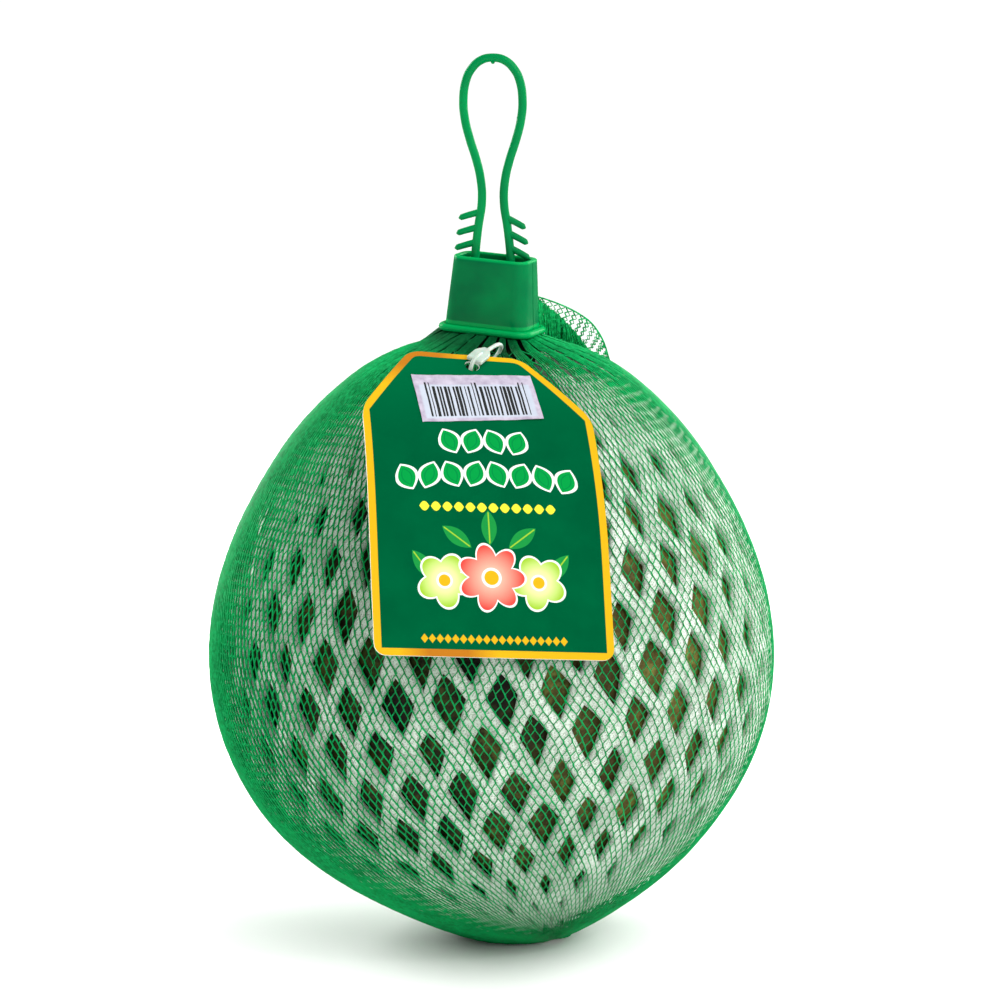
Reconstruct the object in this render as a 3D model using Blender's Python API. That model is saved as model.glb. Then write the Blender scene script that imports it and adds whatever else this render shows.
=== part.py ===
"""A pomelo in its foam sleeve and net bag, with the bag's collar, carrying loop, tag and sticker.

Metres, +Z up. The origin is on the ground, in the flat foot of the bag, and -Y is the side
that carries the tag.
"""

import math

import bmesh
import bpy
from mathutils import Matrix, Vector

MM = 0.001
SHARP_ANGLE = math.radians(35)

# Outline of the wrapped fruit: polar angle from the top in degrees, and the bag's outer radius in
# millimetres about the body's centre.
BODY_OUTLINE = (
    (0, 88.5), (13, 88.7), (22, 87.4), (31, 84.8), (42, 81.7), (52, 79.2), (65, 77.6), (78, 77.0),
    (90, 76.7), (103, 76.2), (120, 75.1), (140, 74.1), (152, 74.3), (163, 76.0), (180, 80.2),
)
BODY_CENTRE = 75.9 * MM
GATHER_SHIFT = 6.5 * MM  # the foot of the bag is drawn towards +X
GATHER_REACH = 25 * MM  # height below which that shift grows

# Depth of each layer below the bag's outer face
BAG_THICKNESS = 1.0 * MM
FOAM_OUTER = 2.4 * MM
FOAM_INNER = 5.5 * MM
FRUIT_DEPTH = 6.9 * MM

# Net bag
BAG_COLUMNS = 22
BAG_ROWS = 11
BAG_FOOT_ANGLE = math.radians(169.2)  # the foot lies flat on the ground inside this ring
BAG_TOP_ANGLE = math.radians(13)
BAG_OPENING = 0.74  # share of each cell that is open
BAG_FLUTE = 0.05  # how far the gathered neck's folds rise and fall, as a share of its radius

# Gathered neck inside the collar: half width, half depth and height above the collar's rim
NECK_RINGS = ((13.0, 8.6, -0.8), (9.6, 4.9, -0.4), (8.4, 4.3, 2.6), (8.2, 4.0, 11.5))

# Fold of spare net behind the collar: distance from the axis, and height of its free edge
FOLD_AZIMUTH = math.radians(35)
FOLD_EDGE = ((17.5, 172.9), (22.4, 172.2), (27.7, 169.3), (32.0, 166.0), (36.6, 160.2), (39.5, 154.6))
FOLD_THICKNESS = 1.4 * MM
FOLD_BULGE = 3.0 * MM
FOLD_COLUMNS = 6
FOLD_ROWS = 2
FOLD_OPENING = 0.6

# Foam sleeve
FOAM_COLUMNS = 22
FOAM_ROWS = 9
FOAM_FOOT_ANGLE = math.radians(160)
FOAM_TOP_ANGLE = math.radians(18)
FOAM_OPENING = 0.58
FOAM_LEAN = math.radians(6.2)  # the sleeve sits askew, its foot towards +X

# Fruit
FRUIT_SEGMENTS = 28
FRUIT_RINGS = 16
CROWN_DROP = 3.5 * MM  # the crown lies lower than the net above it
CROWN_ANGLE = math.radians(30)
SCAR_RADIUS = 4.5 * MM
SCAR_DEPTH = 1.4 * MM

# Collar
COLLAR_PLACE = Vector((0.4, 0, 165.6)) * MM
COLLAR_YAW = math.radians(-16)
COLLAR_PITCH = math.radians(7)
COLLAR_ROLL = math.radians(1.5)
COLLAR_HEIGHT = 19.4 * MM
COLLAR_FOOT_HALF = (12.7 * MM, 7.7 * MM)
COLLAR_TOP_HALF = (11.15 * MM, 6.2 * MM)
COLLAR_CORNER = 3.6 * MM
COLLAR_WALL = 1.4 * MM
COLLAR_BEAD = 1.35 * MM
COLLAR_BEAD_HEIGHT = 2.3 * MM
CORNER_STEPS = 4

# Carrying loop: half width and height of the rod's centre line
LOOP_LINE = (
    (5.05, 177.8), (4.9, 185.5), (4.1, 193.0), (3.05, 200.2), (3.4, 206.0), (4.6, 211.1),
    (6.35, 216.4), (7.75, 221.8), (8.2, 227.1), (7.4, 232.4), (6.05, 235.1), (3.3, 237.6), (0.0, 238.3),
)
LOOP_RADIUS = 1.15 * MM
BARB_RADIUS = 0.72 * MM
BARB_LENGTH = 5.8 * MM
BARB_DROP = math.radians(26)
BARB_HEIGHTS = (197.0, 192.9, 188.9)
HIDDEN_BARB_HEIGHT = 184.4
HIDDEN_BARB_LENGTH = 4.2 * MM

# Tag: a card that leans on the bag and bends back towards the neck
TAG_YAW = math.radians(14)
TAG_FOOT = (79.3 * MM, 88.5 * MM)  # distance before the axis, and height, where the bend is laid out
TAG_STRAIGHT = 30 * MM
TAG_BEND_END = 90 * MM
TAG_LEAN = (math.radians(21), math.radians(58))
TAG_ORIGIN = (-18.6 * MM, 2.3 * MM)
TAG_ROLL = math.radians(3.2)
TAG_HALF_WIDTH = 31 * MM
TAG_SIDE = 66.5 * MM
TAG_HEIGHT = 89 * MM
TAG_TOP_HALF = 13.4 * MM
TAG_CORNER = 3.0 * MM
TAG_THICKNESS = 0.7 * MM
TAG_HOLE = (0, 84.8 * MM)
TAG_HOLE_RADIUS = 2.0 * MM
TAG_SLICES = 14
TAG_STEPS = 40  # steps in which the bend is laid out

# Sticker on the tag
STICKER_CENTRE = (-0.2 * MM, 72.0 * MM)
STICKER_SIZE = (33 * MM, 15.4 * MM)
STICKER_TURN = math.radians(6)
STICKER_THICKNESS = 0.6 * MM
STICKER_GAP = 0.3 * MM
STICKER_SLICES = 4

# Fastener of the tag
PIN_RADIUS = 0.5 * MM
PADDLE_SIZE = (8.0 * MM, 3.2 * MM, 1.3 * MM)
PADDLE_BEVEL = 0.3 * MM
PIN_BACK = 1.6 * MM  # how far the ring passes behind the card
PIN_OVER = (6.5 * MM, 2.4 * MM, 1.6 * MM)  # where it crosses the top edge: aside, above and before
PIN_FAR_END = ((4.5, -25.0, 166.0), (3.5, -21.8, 164.8), (-0.5, -25.0, 162.9))


def clear_scene():
    for obj in list(bpy.data.objects):
        bpy.data.objects.remove(obj, do_unlink=True)


def make_material(name, colour, roughness):
    material = bpy.data.materials.new(name)
    material.use_nodes = True
    shader = material.node_tree.nodes["Principled BSDF"]
    shader.inputs["Base Color"].default_value = (*colour, 1)
    shader.inputs["Roughness"].default_value = roughness
    return material


def add_object(name, mesh, material):
    mesh.name = name
    mesh.materials.clear()
    mesh.materials.append(material)
    mesh.shade_smooth()
    mesh.set_sharp_from_angle(angle=SHARP_ANGLE)
    obj = bpy.data.objects.new(name, mesh)
    bpy.context.scene.collection.objects.link(obj)
    return obj


def mesh_from(bm, name):
    mesh = bpy.data.meshes.new(name)
    bm.to_mesh(mesh)
    bm.free()
    return mesh


def evaluated_mesh(obj):
    """The object's mesh with its modifiers applied. The object itself is removed."""
    bpy.context.view_layer.update()
    graph = bpy.context.evaluated_depsgraph_get()
    mesh = bpy.data.meshes.new_from_object(obj.evaluated_get(graph))
    bpy.data.objects.remove(obj, do_unlink=True)
    return mesh


def boolean(mesh, tool_meshes, operation, solver="EXACT"):
    """The mesh joined with, or cut by, each of the tool meshes."""
    target = bpy.data.objects.new("target", mesh)
    tools = bpy.data.collections.new("tools")
    bpy.context.scene.collection.objects.link(target)
    bpy.context.scene.collection.children.link(tools)
    for tool_mesh in tool_meshes:
        tools.objects.link(bpy.data.objects.new("tool", tool_mesh))
    modifier = target.modifiers.new("join", "BOOLEAN")
    modifier.operand_type = "COLLECTION"
    modifier.collection = tools
    modifier.operation = operation
    modifier.solver = solver
    result = evaluated_mesh(target)
    for obj in list(tools.objects):
        bpy.data.objects.remove(obj, do_unlink=True)
    bpy.data.collections.remove(tools)
    return result


def smooth_value(points, x):
    """A smooth curve through (x, y) points, read at x."""
    last = len(points) - 1
    index = 0
    while index < last - 1 and x > points[index + 1][0]:
        index += 1
    (x0, y0), (x1, y1) = points[index], points[index + 1]
    before = points[max(index - 1, 0)]
    after = points[min(index + 2, last)]
    slope0 = (y1 - before[1]) / (x1 - before[0])
    slope1 = (after[1] - y0) / (after[0] - x0)
    width = x1 - x0
    t = min(max((x - x0) / width, 0), 1)
    return (
        (2 * t**3 - 3 * t**2 + 1) * y0
        + (t**3 - 2 * t**2 + t) * slope0 * width
        + (3 * t**2 - 2 * t**3) * y1
        + (t**3 - t**2) * slope1 * width
    )


def smooth_path(points, steps, cyclic=False):
    """Points along a smooth curve through the given ones."""
    count = len(points)
    path = []
    for index in range(count if cyclic else count - 1):
        if cyclic:
            p0, p1, p2, p3 = (points[(index + k - 1) % count] for k in range(4))
        else:
            p0, p1, p2, p3 = (points[min(max(index + k - 1, 0), count - 1)] for k in range(4))
        for step in range(steps):
            t = step / steps
            path.append(
                0.5 * ((2 * p1) + (p2 - p0) * t + (2 * p0 - 5 * p1 + 4 * p2 - p3) * t**2
                       + (3 * p1 - p0 - 3 * p2 + p3) * t**3)
            )
    if not cyclic:
        path.append(points[-1].copy())
    return path


def body_point(direction, depth):
    """The point of the wrapped body in a direction from its centre, a depth below the bag's face."""
    polar = math.degrees(math.acos(min(max(direction.z, -1), 1)))
    reach = smooth_value(BODY_OUTLINE, polar) * MM - depth
    height = max(BODY_CENTRE + direction.z * reach, depth)
    shift = GATHER_SHIFT * max(0, 1 - height / GATHER_REACH) ** 2
    return Vector((direction.x * reach + shift, direction.y * reach, height))


def wrap_direction(turn, polar, lean=0.0):
    """A direction by its turn about the wrap's axis and its polar angle, with the axis leaning."""
    x = math.sin(polar) * math.cos(turn)
    y = math.sin(polar) * math.sin(turn)
    z = math.cos(polar)
    return Vector((x * math.cos(lean) - z * math.sin(lean), y, x * math.sin(lean) + z * math.cos(lean)))


def add_lattice(bm, columns, rows, opening, place):
    """A closed ring of diamond cells between an outer and an inner face.

    place(u, v, inner) gives a point, with u in columns and v in rows. It returns the rings of
    vertices at the foot and at the top, the outer one first.
    """
    nodes = []
    for row in range(rows + 1):
        offset = 0.5 * (row % 2)
        nodes.append(
            [[bm.verts.new(place(i + offset, row, inner)) for i in range(columns)] for inner in (False, True)]
        )

    def both_faces(a, b, c):
        bm.faces.new((a[0], b[0], c[0]))
        bm.faces.new((c[1], b[1], a[1]))

    def node(row, i):
        return [nodes[row][layer][i % columns] for layer in (0, 1)]

    for row in range(1, rows):
        odd = row % 2
        for i in range(columns):
            corners = [node(row, i), node(row - 1, i + odd), node(row, i + 1), node(row + 1, i + odd)]
            u = i + 0.5 + 0.5 * odd
            reach = ((-0.5, 0), (0, -1), (0.5, 0), (0, 1))
            holes = [
                [bm.verts.new(place(u + du * opening, row + dv * opening, inner)) for inner in (False, True)]
                for du, dv in reach
            ]
            for k in range(4):
                following = (k + 1) % 4
                both_faces(corners[k], corners[following], holes[following])
                both_faces(corners[k], holes[following], holes[k])
                bm.faces.new((holes[k][0], holes[following][0], holes[following][1], holes[k][1]))
    for i in range(columns):
        both_faces(node(0, i), node(0, i + 1), node(1, i))
        both_faces(node(rows, i + 1), node(rows, i), node(rows - 1, i + rows % 2))
    return nodes[0], nodes[rows]


def add_end_walls(bm, foot, top):
    columns = len(foot[0])
    for i in range(columns):
        j = (i + 1) % columns
        bm.faces.new((foot[0][j], foot[0][i], foot[1][i], foot[1][j]))
        bm.faces.new((top[0][i], top[0][j], top[1][j], top[1][i]))


def collar_frame():
    turn = Matrix.Rotation(COLLAR_YAW, 4, "Z") @ Matrix.Rotation(COLLAR_PITCH, 4, "X")
    return Matrix.Translation(COLLAR_PLACE) @ turn @ Matrix.Rotation(COLLAR_ROLL, 4, "Y")


def make_fruit():
    """The pomelo: a slightly pear-shaped fruit with a stem scar sunk in its crown."""
    bm = bmesh.new()
    rings = []
    for ring in range(1, FRUIT_RINGS):
        polar = math.pi * ring / FRUIT_RINGS
        drop = CROWN_DROP * max(0, 1 - polar / CROWN_ANGLE) ** 2
        directions = [wrap_direction(2 * math.pi * i / FRUIT_SEGMENTS, polar) for i in range(FRUIT_SEGMENTS)]
        rings.append([bm.verts.new(body_point(direction, FRUIT_DEPTH + drop)) for direction in directions])
    crown = BODY_CENTRE + BODY_OUTLINE[0][1] * MM - FRUIT_DEPTH - CROWN_DROP
    scar_rings = []
    for radius, height in ((SCAR_RADIUS, crown), (0.7 * SCAR_RADIUS, crown - SCAR_DEPTH)):
        scar_rings.append([
            bm.verts.new((
                radius * math.cos(2 * math.pi * i / FRUIT_SEGMENTS),
                radius * math.sin(2 * math.pi * i / FRUIT_SEGMENTS),
                height,
            ))
            for i in range(FRUIT_SEGMENTS)
        ])
    stacked = [scar_rings[1], scar_rings[0]] + rings
    for upper, lower in zip(stacked, stacked[1:]):
        for i in range(FRUIT_SEGMENTS):
            j = (i + 1) % FRUIT_SEGMENTS
            bm.faces.new((lower[i], lower[j], upper[j], upper[i]))
    bm.faces.new(stacked[0])
    bm.faces.new(list(reversed(rings[-1])))
    add_object("pomelo", mesh_from(bm, "pomelo"), make_material("pomelo_peel", (0.16, 0.19, 0.05), 0.5))


def make_foam():
    """The foam sleeve: a ring of diamond holes, open at both ends."""
    bm = bmesh.new()

    def place(u, v, inner):
        polar = FOAM_FOOT_ANGLE + (FOAM_TOP_ANGLE - FOAM_FOOT_ANGLE) * v / FOAM_ROWS
        direction = wrap_direction(2 * math.pi * u / FOAM_COLUMNS, polar, FOAM_LEAN)
        return body_point(direction, FOAM_INNER if inner else FOAM_OUTER)

    foot, top = add_lattice(bm, FOAM_COLUMNS, FOAM_ROWS, FOAM_OPENING, place)
    add_end_walls(bm, foot, top)
    add_object("foam_sleeve", mesh_from(bm, "foam_sleeve"), make_material("foam", (0.86, 0.88, 0.84), 0.8))


def bag_shell():
    """The net from its flat foot to the gathered neck that fills the collar."""
    bm = bmesh.new()

    def place(u, v, inner):
        polar = BAG_FOOT_ANGLE + (BAG_TOP_ANGLE - BAG_FOOT_ANGLE) * v / BAG_ROWS
        direction = wrap_direction(2 * math.pi * u / BAG_COLUMNS, polar)
        return body_point(direction, BAG_THICKNESS if inner else 0)

    foot, top = add_lattice(bm, BAG_COLUMNS, BAG_ROWS, BAG_OPENING, place)
    bm.faces.new(list(reversed(foot[0])))
    bm.faces.new(foot[1])
    bm.faces.new(list(reversed(top[1])))
    frame = collar_frame()
    lower = top[0]
    for half_width, half_depth, height in NECK_RINGS:
        ring = []
        for i in range(BAG_COLUMNS):
            turn = 2 * math.pi * i / BAG_COLUMNS - COLLAR_YAW
            size = (1 + BAG_FLUTE * (-1) ** i) * MM
            x = half_width * size * math.cos(turn)
            y = half_depth * size * math.sin(turn)
            ring.append(bm.verts.new(frame @ Vector((x, y, height * MM))))
        for i in range(BAG_COLUMNS):
            j = (i + 1) % BAG_COLUMNS
            bm.faces.new((lower[i], lower[j], ring[j], ring[i]))
        lower = ring
    bm.faces.new(lower)
    bmesh.ops.triangulate(bm, faces=bm.faces[:])
    return mesh_from(bm, "net_bag")


def bag_fold():
    """The fold of spare net that stands up behind the collar, rooted in the bag's shoulder."""
    outward = Vector((math.cos(FOLD_AZIMUTH), math.sin(FOLD_AZIMUTH), 0))
    across = Vector((-math.sin(FOLD_AZIMUTH), math.cos(FOLD_AZIMUTH), 0))
    first, last = FOLD_EDGE[0][0], FOLD_EDGE[-1][0]

    def shoulder(radius):
        polar = math.asin(radius / BODY_OUTLINE[1][1])
        for _ in range(8):
            polar = math.asin(radius / smooth_value(BODY_OUTLINE, math.degrees(polar)))
        return body_point(outward * math.sin(polar) + Vector((0, 0, math.cos(polar))), BAG_THICKNESS / 2).z

    def place(u, v, inner):
        radius = first + (last - first) * u / FOLD_COLUMNS
        root = shoulder(radius)
        height = root + (smooth_value(FOLD_EDGE, radius) * MM - root) * v / FOLD_ROWS
        bulge = FOLD_BULGE * math.sin(math.pi * u / FOLD_COLUMNS) * math.sin(math.pi * 0.5 * v / FOLD_ROWS)
        side = bulge + (-0.5 if inner else 0.5) * FOLD_THICKNESS
        return outward * radius * MM - across * side + Vector((0, 0, height))

    bm = bmesh.new()
    nodes = [
        [[bm.verts.new(place(u, v, inner)) for inner in (False, True)] for u in range(FOLD_COLUMNS + 1)]
        for v in range(FOLD_ROWS + 1)
    ]
    corners_at = ((0, 0), (1, 0), (1, 1), (0, 1))
    for v in range(FOLD_ROWS):
        for u in range(FOLD_COLUMNS):
            corners = [nodes[v + dv][u + du] for du, dv in corners_at]
            holes = [
                [
                    bm.verts.new(place(
                        u + 0.5 + (du - 0.5) * FOLD_OPENING, v + 0.5 + (dv - 0.5) * FOLD_OPENING, inner
                    ))
                    for inner in (False, True)
                ]
                for du, dv in corners_at
            ]
            for k in range(4):
                n = (k + 1) % 4
                bm.faces.new((corners[k][0], corners[n][0], holes[n][0]))
                bm.faces.new((corners[k][0], holes[n][0], holes[k][0]))
                bm.faces.new((holes[n][1], corners[n][1], corners[k][1]))
                bm.faces.new((holes[k][1], holes[n][1], corners[k][1]))
                bm.faces.new((holes[k][0], holes[n][0], holes[n][1], holes[k][1]))
    border = [nodes[0][u] for u in range(FOLD_COLUMNS)]
    border += [nodes[v][FOLD_COLUMNS] for v in range(FOLD_ROWS)]
    border += [nodes[FOLD_ROWS][u] for u in range(FOLD_COLUMNS, 0, -1)]
    border += [nodes[v][0] for v in range(FOLD_ROWS, 0, -1)]
    for here, there in zip(border, border[1:] + border[:1]):
        bm.faces.new((there[0], here[0], here[1], there[1]))
    bmesh.ops.recalc_face_normals(bm, faces=bm.faces[:])
    return mesh_from(bm, "fold")


def make_bag():
    mesh = boolean(bag_shell(), [bag_fold()], "UNION", "MANIFOLD")
    add_object("net_bag", mesh, make_material("net", (0.0, 0.32, 0.1), 0.45))


def rounded_rectangle(half_x, half_y, corner):
    """Points round a rectangle with round corners, anticlockwise."""
    points = []
    for quarter, (sx, sy) in enumerate(((1, 1), (-1, 1), (-1, -1), (1, -1))):
        for step in range(CORNER_STEPS + 1):
            angle = math.pi / 2 * (quarter + step / CORNER_STEPS)
            points.append((
                sx * (half_x - corner) + corner * math.cos(angle),
                sy * (half_y - corner) + corner * math.sin(angle),
            ))
    return points


def make_collar():
    """The collar: a tapered tube with round corners, a bead round its foot and a soft top edge."""
    bead, wall, height = COLLAR_BEAD, COLLAR_WALL, COLLAR_HEIGHT
    bead_height = COLLAR_BEAD_HEIGHT
    # Height above the foot, and distance outside the tapered side
    profile = (
        (0, -wall), (0, 0.15 * bead), (0.15 * bead_height, 0.75 * bead), (0.5 * bead_height, bead),
        (0.85 * bead_height, 0.75 * bead), (bead_height, 0), (height - 0.6 * wall, 0),
        (height - 0.15 * wall, -0.2 * wall), (height, -0.5 * wall), (height - 0.15 * wall, -0.8 * wall),
        (height - 0.6 * wall, -wall),
    )
    bm = bmesh.new()
    loops = []
    for level, outset in profile:
        share = level / height
        half_x = COLLAR_FOOT_HALF[0] + (COLLAR_TOP_HALF[0] - COLLAR_FOOT_HALF[0]) * share + outset
        half_y = COLLAR_FOOT_HALF[1] + (COLLAR_TOP_HALF[1] - COLLAR_FOOT_HALF[1]) * share + outset
        outline = rounded_rectangle(half_x, half_y, COLLAR_CORNER + outset)
        loops.append([bm.verts.new((x, y, level)) for x, y in outline])
    for lower, upper in zip(loops, loops[1:] + loops[:1]):
        for i in range(len(lower)):
            j = (i + 1) % len(lower)
            bm.faces.new((lower[i], lower[j], upper[j], upper[i]))
    plastic = make_material("collar_plastic", (0.0, 0.2, 0.06), 0.35)
    collar = add_object("collar", mesh_from(bm, "collar"), plastic)
    collar.matrix_world = collar_frame()


def rod_mesh(points, radius, cyclic=False, resolution=2):
    """A round rod along a line of points, closed at its ends."""
    curve = bpy.data.curves.new("rod", "CURVE")
    curve.dimensions = "3D"
    curve.bevel_depth = radius
    curve.bevel_resolution = resolution
    curve.use_fill_caps = not cyclic
    spline = curve.splines.new("POLY")
    spline.points.add(len(points) - 1)
    for target, point in zip(spline.points, points):
        target.co = (*point, 1)
    spline.use_cyclic_u = cyclic
    obj = bpy.data.objects.new("rod", curve)
    bpy.context.scene.collection.objects.link(obj)
    mesh = evaluated_mesh(obj)
    bm = bmesh.new()
    bm.from_mesh(mesh)
    bmesh.ops.remove_doubles(bm, verts=bm.verts[:], dist=0.001 * MM)
    bmesh.ops.recalc_face_normals(bm, faces=bm.faces[:])
    bm.to_mesh(mesh)
    bm.free()
    return mesh


def loop_half_width(height):
    return smooth_value([(z, x) for x, z in LOOP_LINE], height)


def make_loop():
    """The carrying loop: one rod, its two legs standing in the collar, each with a row of barbs."""
    left = [Vector((-x, 0, z)) * MM for x, z in LOOP_LINE]
    right = [Vector((x, 0, z)) * MM for x, z in reversed(LOOP_LINE[:-1])]
    rod = rod_mesh(smooth_path(left + right, 2), LOOP_RADIUS)
    barbs = []
    rows = [(height, BARB_LENGTH) for height in BARB_HEIGHTS] + [(HIDDEN_BARB_HEIGHT, HIDDEN_BARB_LENGTH)]
    for side in (-1, 1):
        for height, length in rows:
            root = Vector((side * loop_half_width(height), 0, height)) * MM
            tip = root + Vector((side * math.cos(BARB_DROP), 0, -math.sin(BARB_DROP))) * length
            barbs.append(rod_mesh([root, tip], BARB_RADIUS))
    mesh = boolean(rod, barbs, "UNION", "MANIFOLD")
    loop = add_object("handle_loop", mesh, make_material("loop_plastic", (0.0, 0.28, 0.08), 0.35))
    loop.rotation_euler.z = COLLAR_YAW


def tag_lean(along):
    share = min(max((along - TAG_STRAIGHT) / (TAG_BEND_END - TAG_STRAIGHT), 0), 1.2)
    return TAG_LEAN[0] + (TAG_LEAN[1] - TAG_LEAN[0]) * share


def tag_point(x, y, lift):
    """A point of the bent card, from its place on the flat card and its lift off the card's back."""
    side = TAG_ORIGIN[0] + x * math.cos(TAG_ROLL) + y * math.sin(TAG_ROLL)
    along = TAG_ORIGIN[1] - x * math.sin(TAG_ROLL) + y * math.cos(TAG_ROLL)
    before, height = TAG_FOOT
    for step in range(TAG_STEPS):
        lean = tag_lean(along * (step + 0.5) / TAG_STEPS)
        before -= math.sin(lean) * along / TAG_STEPS
        height += math.cos(lean) * along / TAG_STEPS
    lean = tag_lean(along)
    before += math.cos(lean) * lift
    height += math.sin(lean) * lift
    across = Vector((math.cos(TAG_YAW), math.sin(TAG_YAW), 0))
    forward = Vector((math.sin(TAG_YAW), -math.cos(TAG_YAW), 0))
    return across * side + forward * before + Vector((0, 0, height))


def rounded_outline(corners, radius, steps):
    """The outline of a polygon with its corners rounded by short curves."""
    points = []
    for index, corner in enumerate(corners):
        corner = Vector(corner)
        before = (Vector(corners[index - 1]) - corner).normalized() * radius
        after = (Vector(corners[(index + 1) % len(corners)]) - corner).normalized() * radius
        for step in range(steps + 1):
            t = step / steps
            points.append(corner + before * (1 - t) ** 2 + after * t**2)
    return points


def bent_plate(outline, thickness, slices, lift, place, hole=None):
    """A thin plate cut to an outline, sliced across and bent by place(x, y, lift)."""
    bm = bmesh.new()
    base = [bm.verts.new((point.x, point.y, 0)) for point in outline]
    face = bm.faces.new(base)
    grown = bmesh.ops.extrude_face_region(bm, geom=[face])["geom"]
    raised = [item for item in grown if isinstance(item, bmesh.types.BMVert)]
    bmesh.ops.translate(bm, verts=raised, vec=(0, 0, thickness))
    bmesh.ops.recalc_face_normals(bm, faces=bm.faces[:])
    mesh = mesh_from(bm, "plate")
    if hole:
        (x, y), radius = hole
        cutter = bmesh.new()
        bmesh.ops.create_cone(
            cutter, cap_ends=True, segments=16, radius1=radius, radius2=radius, depth=4 * thickness,
            matrix=Matrix.Translation((x, y, 0.5 * thickness)),
        )
        mesh = boolean(mesh, [mesh_from(cutter, "hole")], "DIFFERENCE")
    bm = bmesh.new()
    bm.from_mesh(mesh)
    low = min(point.y for point in outline)
    high = max(point.y for point in outline)
    for cut in range(1, slices):
        level = low + (high - low) * cut / slices
        bmesh.ops.bisect_plane(
            bm, geom=bm.verts[:] + bm.edges[:] + bm.faces[:], plane_co=(0, level, 0), plane_no=(0, 1, 0)
        )
    bmesh.ops.triangulate(bm, faces=bm.faces[:])
    for vert in bm.verts:
        vert.co = place(vert.co.x, vert.co.y, vert.co.z + lift)
    return mesh_from(bm, "plate")


def make_tag():
    """The hang tag: a card with cut upper corners and a hole, bent over the bag's shoulder."""
    corners = (
        (-TAG_HALF_WIDTH, 0), (TAG_HALF_WIDTH, 0), (TAG_HALF_WIDTH, TAG_SIDE), (TAG_TOP_HALF, TAG_HEIGHT),
        (-TAG_TOP_HALF, TAG_HEIGHT), (-TAG_HALF_WIDTH, TAG_SIDE),
    )
    outline = rounded_outline(corners, TAG_CORNER, 3)
    mesh = bent_plate(outline, TAG_THICKNESS, TAG_SLICES, 0, tag_point, (TAG_HOLE, TAG_HOLE_RADIUS))
    add_object("hang_tag", mesh, make_material("tag_card", (0.0, 0.14, 0.05), 0.4))


def make_sticker():
    """The sticker across the upper part of the tag."""
    half_width, half_height = STICKER_SIZE[0] / 2, STICKER_SIZE[1] / 2
    outline = [
        Vector(corner)
        for corner in ((-half_width, -half_height), (half_width, -half_height), (half_width, half_height),
                       (-half_width, half_height))
    ]

    def place(x, y, lift):
        turned_x = x * math.cos(STICKER_TURN) - y * math.sin(STICKER_TURN)
        turned_y = x * math.sin(STICKER_TURN) + y * math.cos(STICKER_TURN)
        return tag_point(STICKER_CENTRE[0] + turned_x, STICKER_CENTRE[1] + turned_y, lift)

    lift = TAG_THICKNESS + STICKER_GAP
    mesh = bent_plate(outline, STICKER_THICKNESS, STICKER_SLICES, lift, place)
    add_object("tag_sticker", mesh, make_material("sticker_film", (0.62, 0.6, 0.66), 0.4))


def make_pin():
    """The tag's fastener: a fine ring through the card's hole and over its top edge, and a paddle."""
    x, y = TAG_HOLE
    front = tag_point(x, y, TAG_THICKNESS + PADDLE_SIZE[2])
    back = tag_point(x, y, -PIN_BACK)
    over = tag_point(x + PIN_OVER[0], TAG_HEIGHT + PIN_OVER[1], PIN_OVER[2])
    route = [back, front, over] + [Vector(point) * MM for point in PIN_FAR_END]
    ring = rod_mesh(smooth_path(route, 5, cyclic=True), PIN_RADIUS, cyclic=True)
    middle = (front + over) / 2
    along = (over - front).normalized()
    normal = (tag_point(x, y, MM) - tag_point(x, y, 0)).normalized()
    across = normal.cross(along).normalized()
    turn = Matrix((along, across, along.cross(across))).transposed().to_4x4()
    paddle = bmesh.new()
    size = Matrix.Diagonal((*PADDLE_SIZE, 1))
    bmesh.ops.create_cube(paddle, size=1, matrix=Matrix.Translation(middle) @ turn @ size)
    bmesh.ops.bevel(
        paddle, geom=paddle.edges[:], offset=PADDLE_BEVEL, segments=1, affect="EDGES", clamp_overlap=True
    )
    mesh = boolean(ring, [mesh_from(paddle, "paddle")], "UNION", "MANIFOLD")
    add_object("tag_pin", mesh, make_material("pin_plastic", (0.8, 0.84, 0.8), 0.35))


clear_scene()
make_fruit()
make_foam()
make_bag()
make_collar()
make_loop()
make_tag()
make_sticker()
make_pin()
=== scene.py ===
import math
import random

import bmesh
import bpy
import numpy as np
from mathutils import Matrix, Vector


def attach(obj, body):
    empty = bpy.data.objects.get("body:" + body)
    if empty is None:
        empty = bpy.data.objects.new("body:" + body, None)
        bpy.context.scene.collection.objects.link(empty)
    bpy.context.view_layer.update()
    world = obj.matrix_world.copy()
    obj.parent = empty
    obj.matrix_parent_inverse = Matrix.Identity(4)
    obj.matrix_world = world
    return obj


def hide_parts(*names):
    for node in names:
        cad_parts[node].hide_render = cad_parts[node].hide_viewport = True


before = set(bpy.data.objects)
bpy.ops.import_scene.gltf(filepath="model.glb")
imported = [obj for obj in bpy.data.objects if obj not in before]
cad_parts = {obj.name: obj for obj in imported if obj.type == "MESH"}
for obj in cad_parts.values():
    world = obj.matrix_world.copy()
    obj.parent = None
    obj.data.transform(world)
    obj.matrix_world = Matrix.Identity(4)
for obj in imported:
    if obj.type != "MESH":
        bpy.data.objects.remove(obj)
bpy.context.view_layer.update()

mm = 0.001
flatSpan = 100  # width of the flat card's UV square, in millimetres


def stageDone(text):
    print("scene:", text, flush=True)


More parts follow.
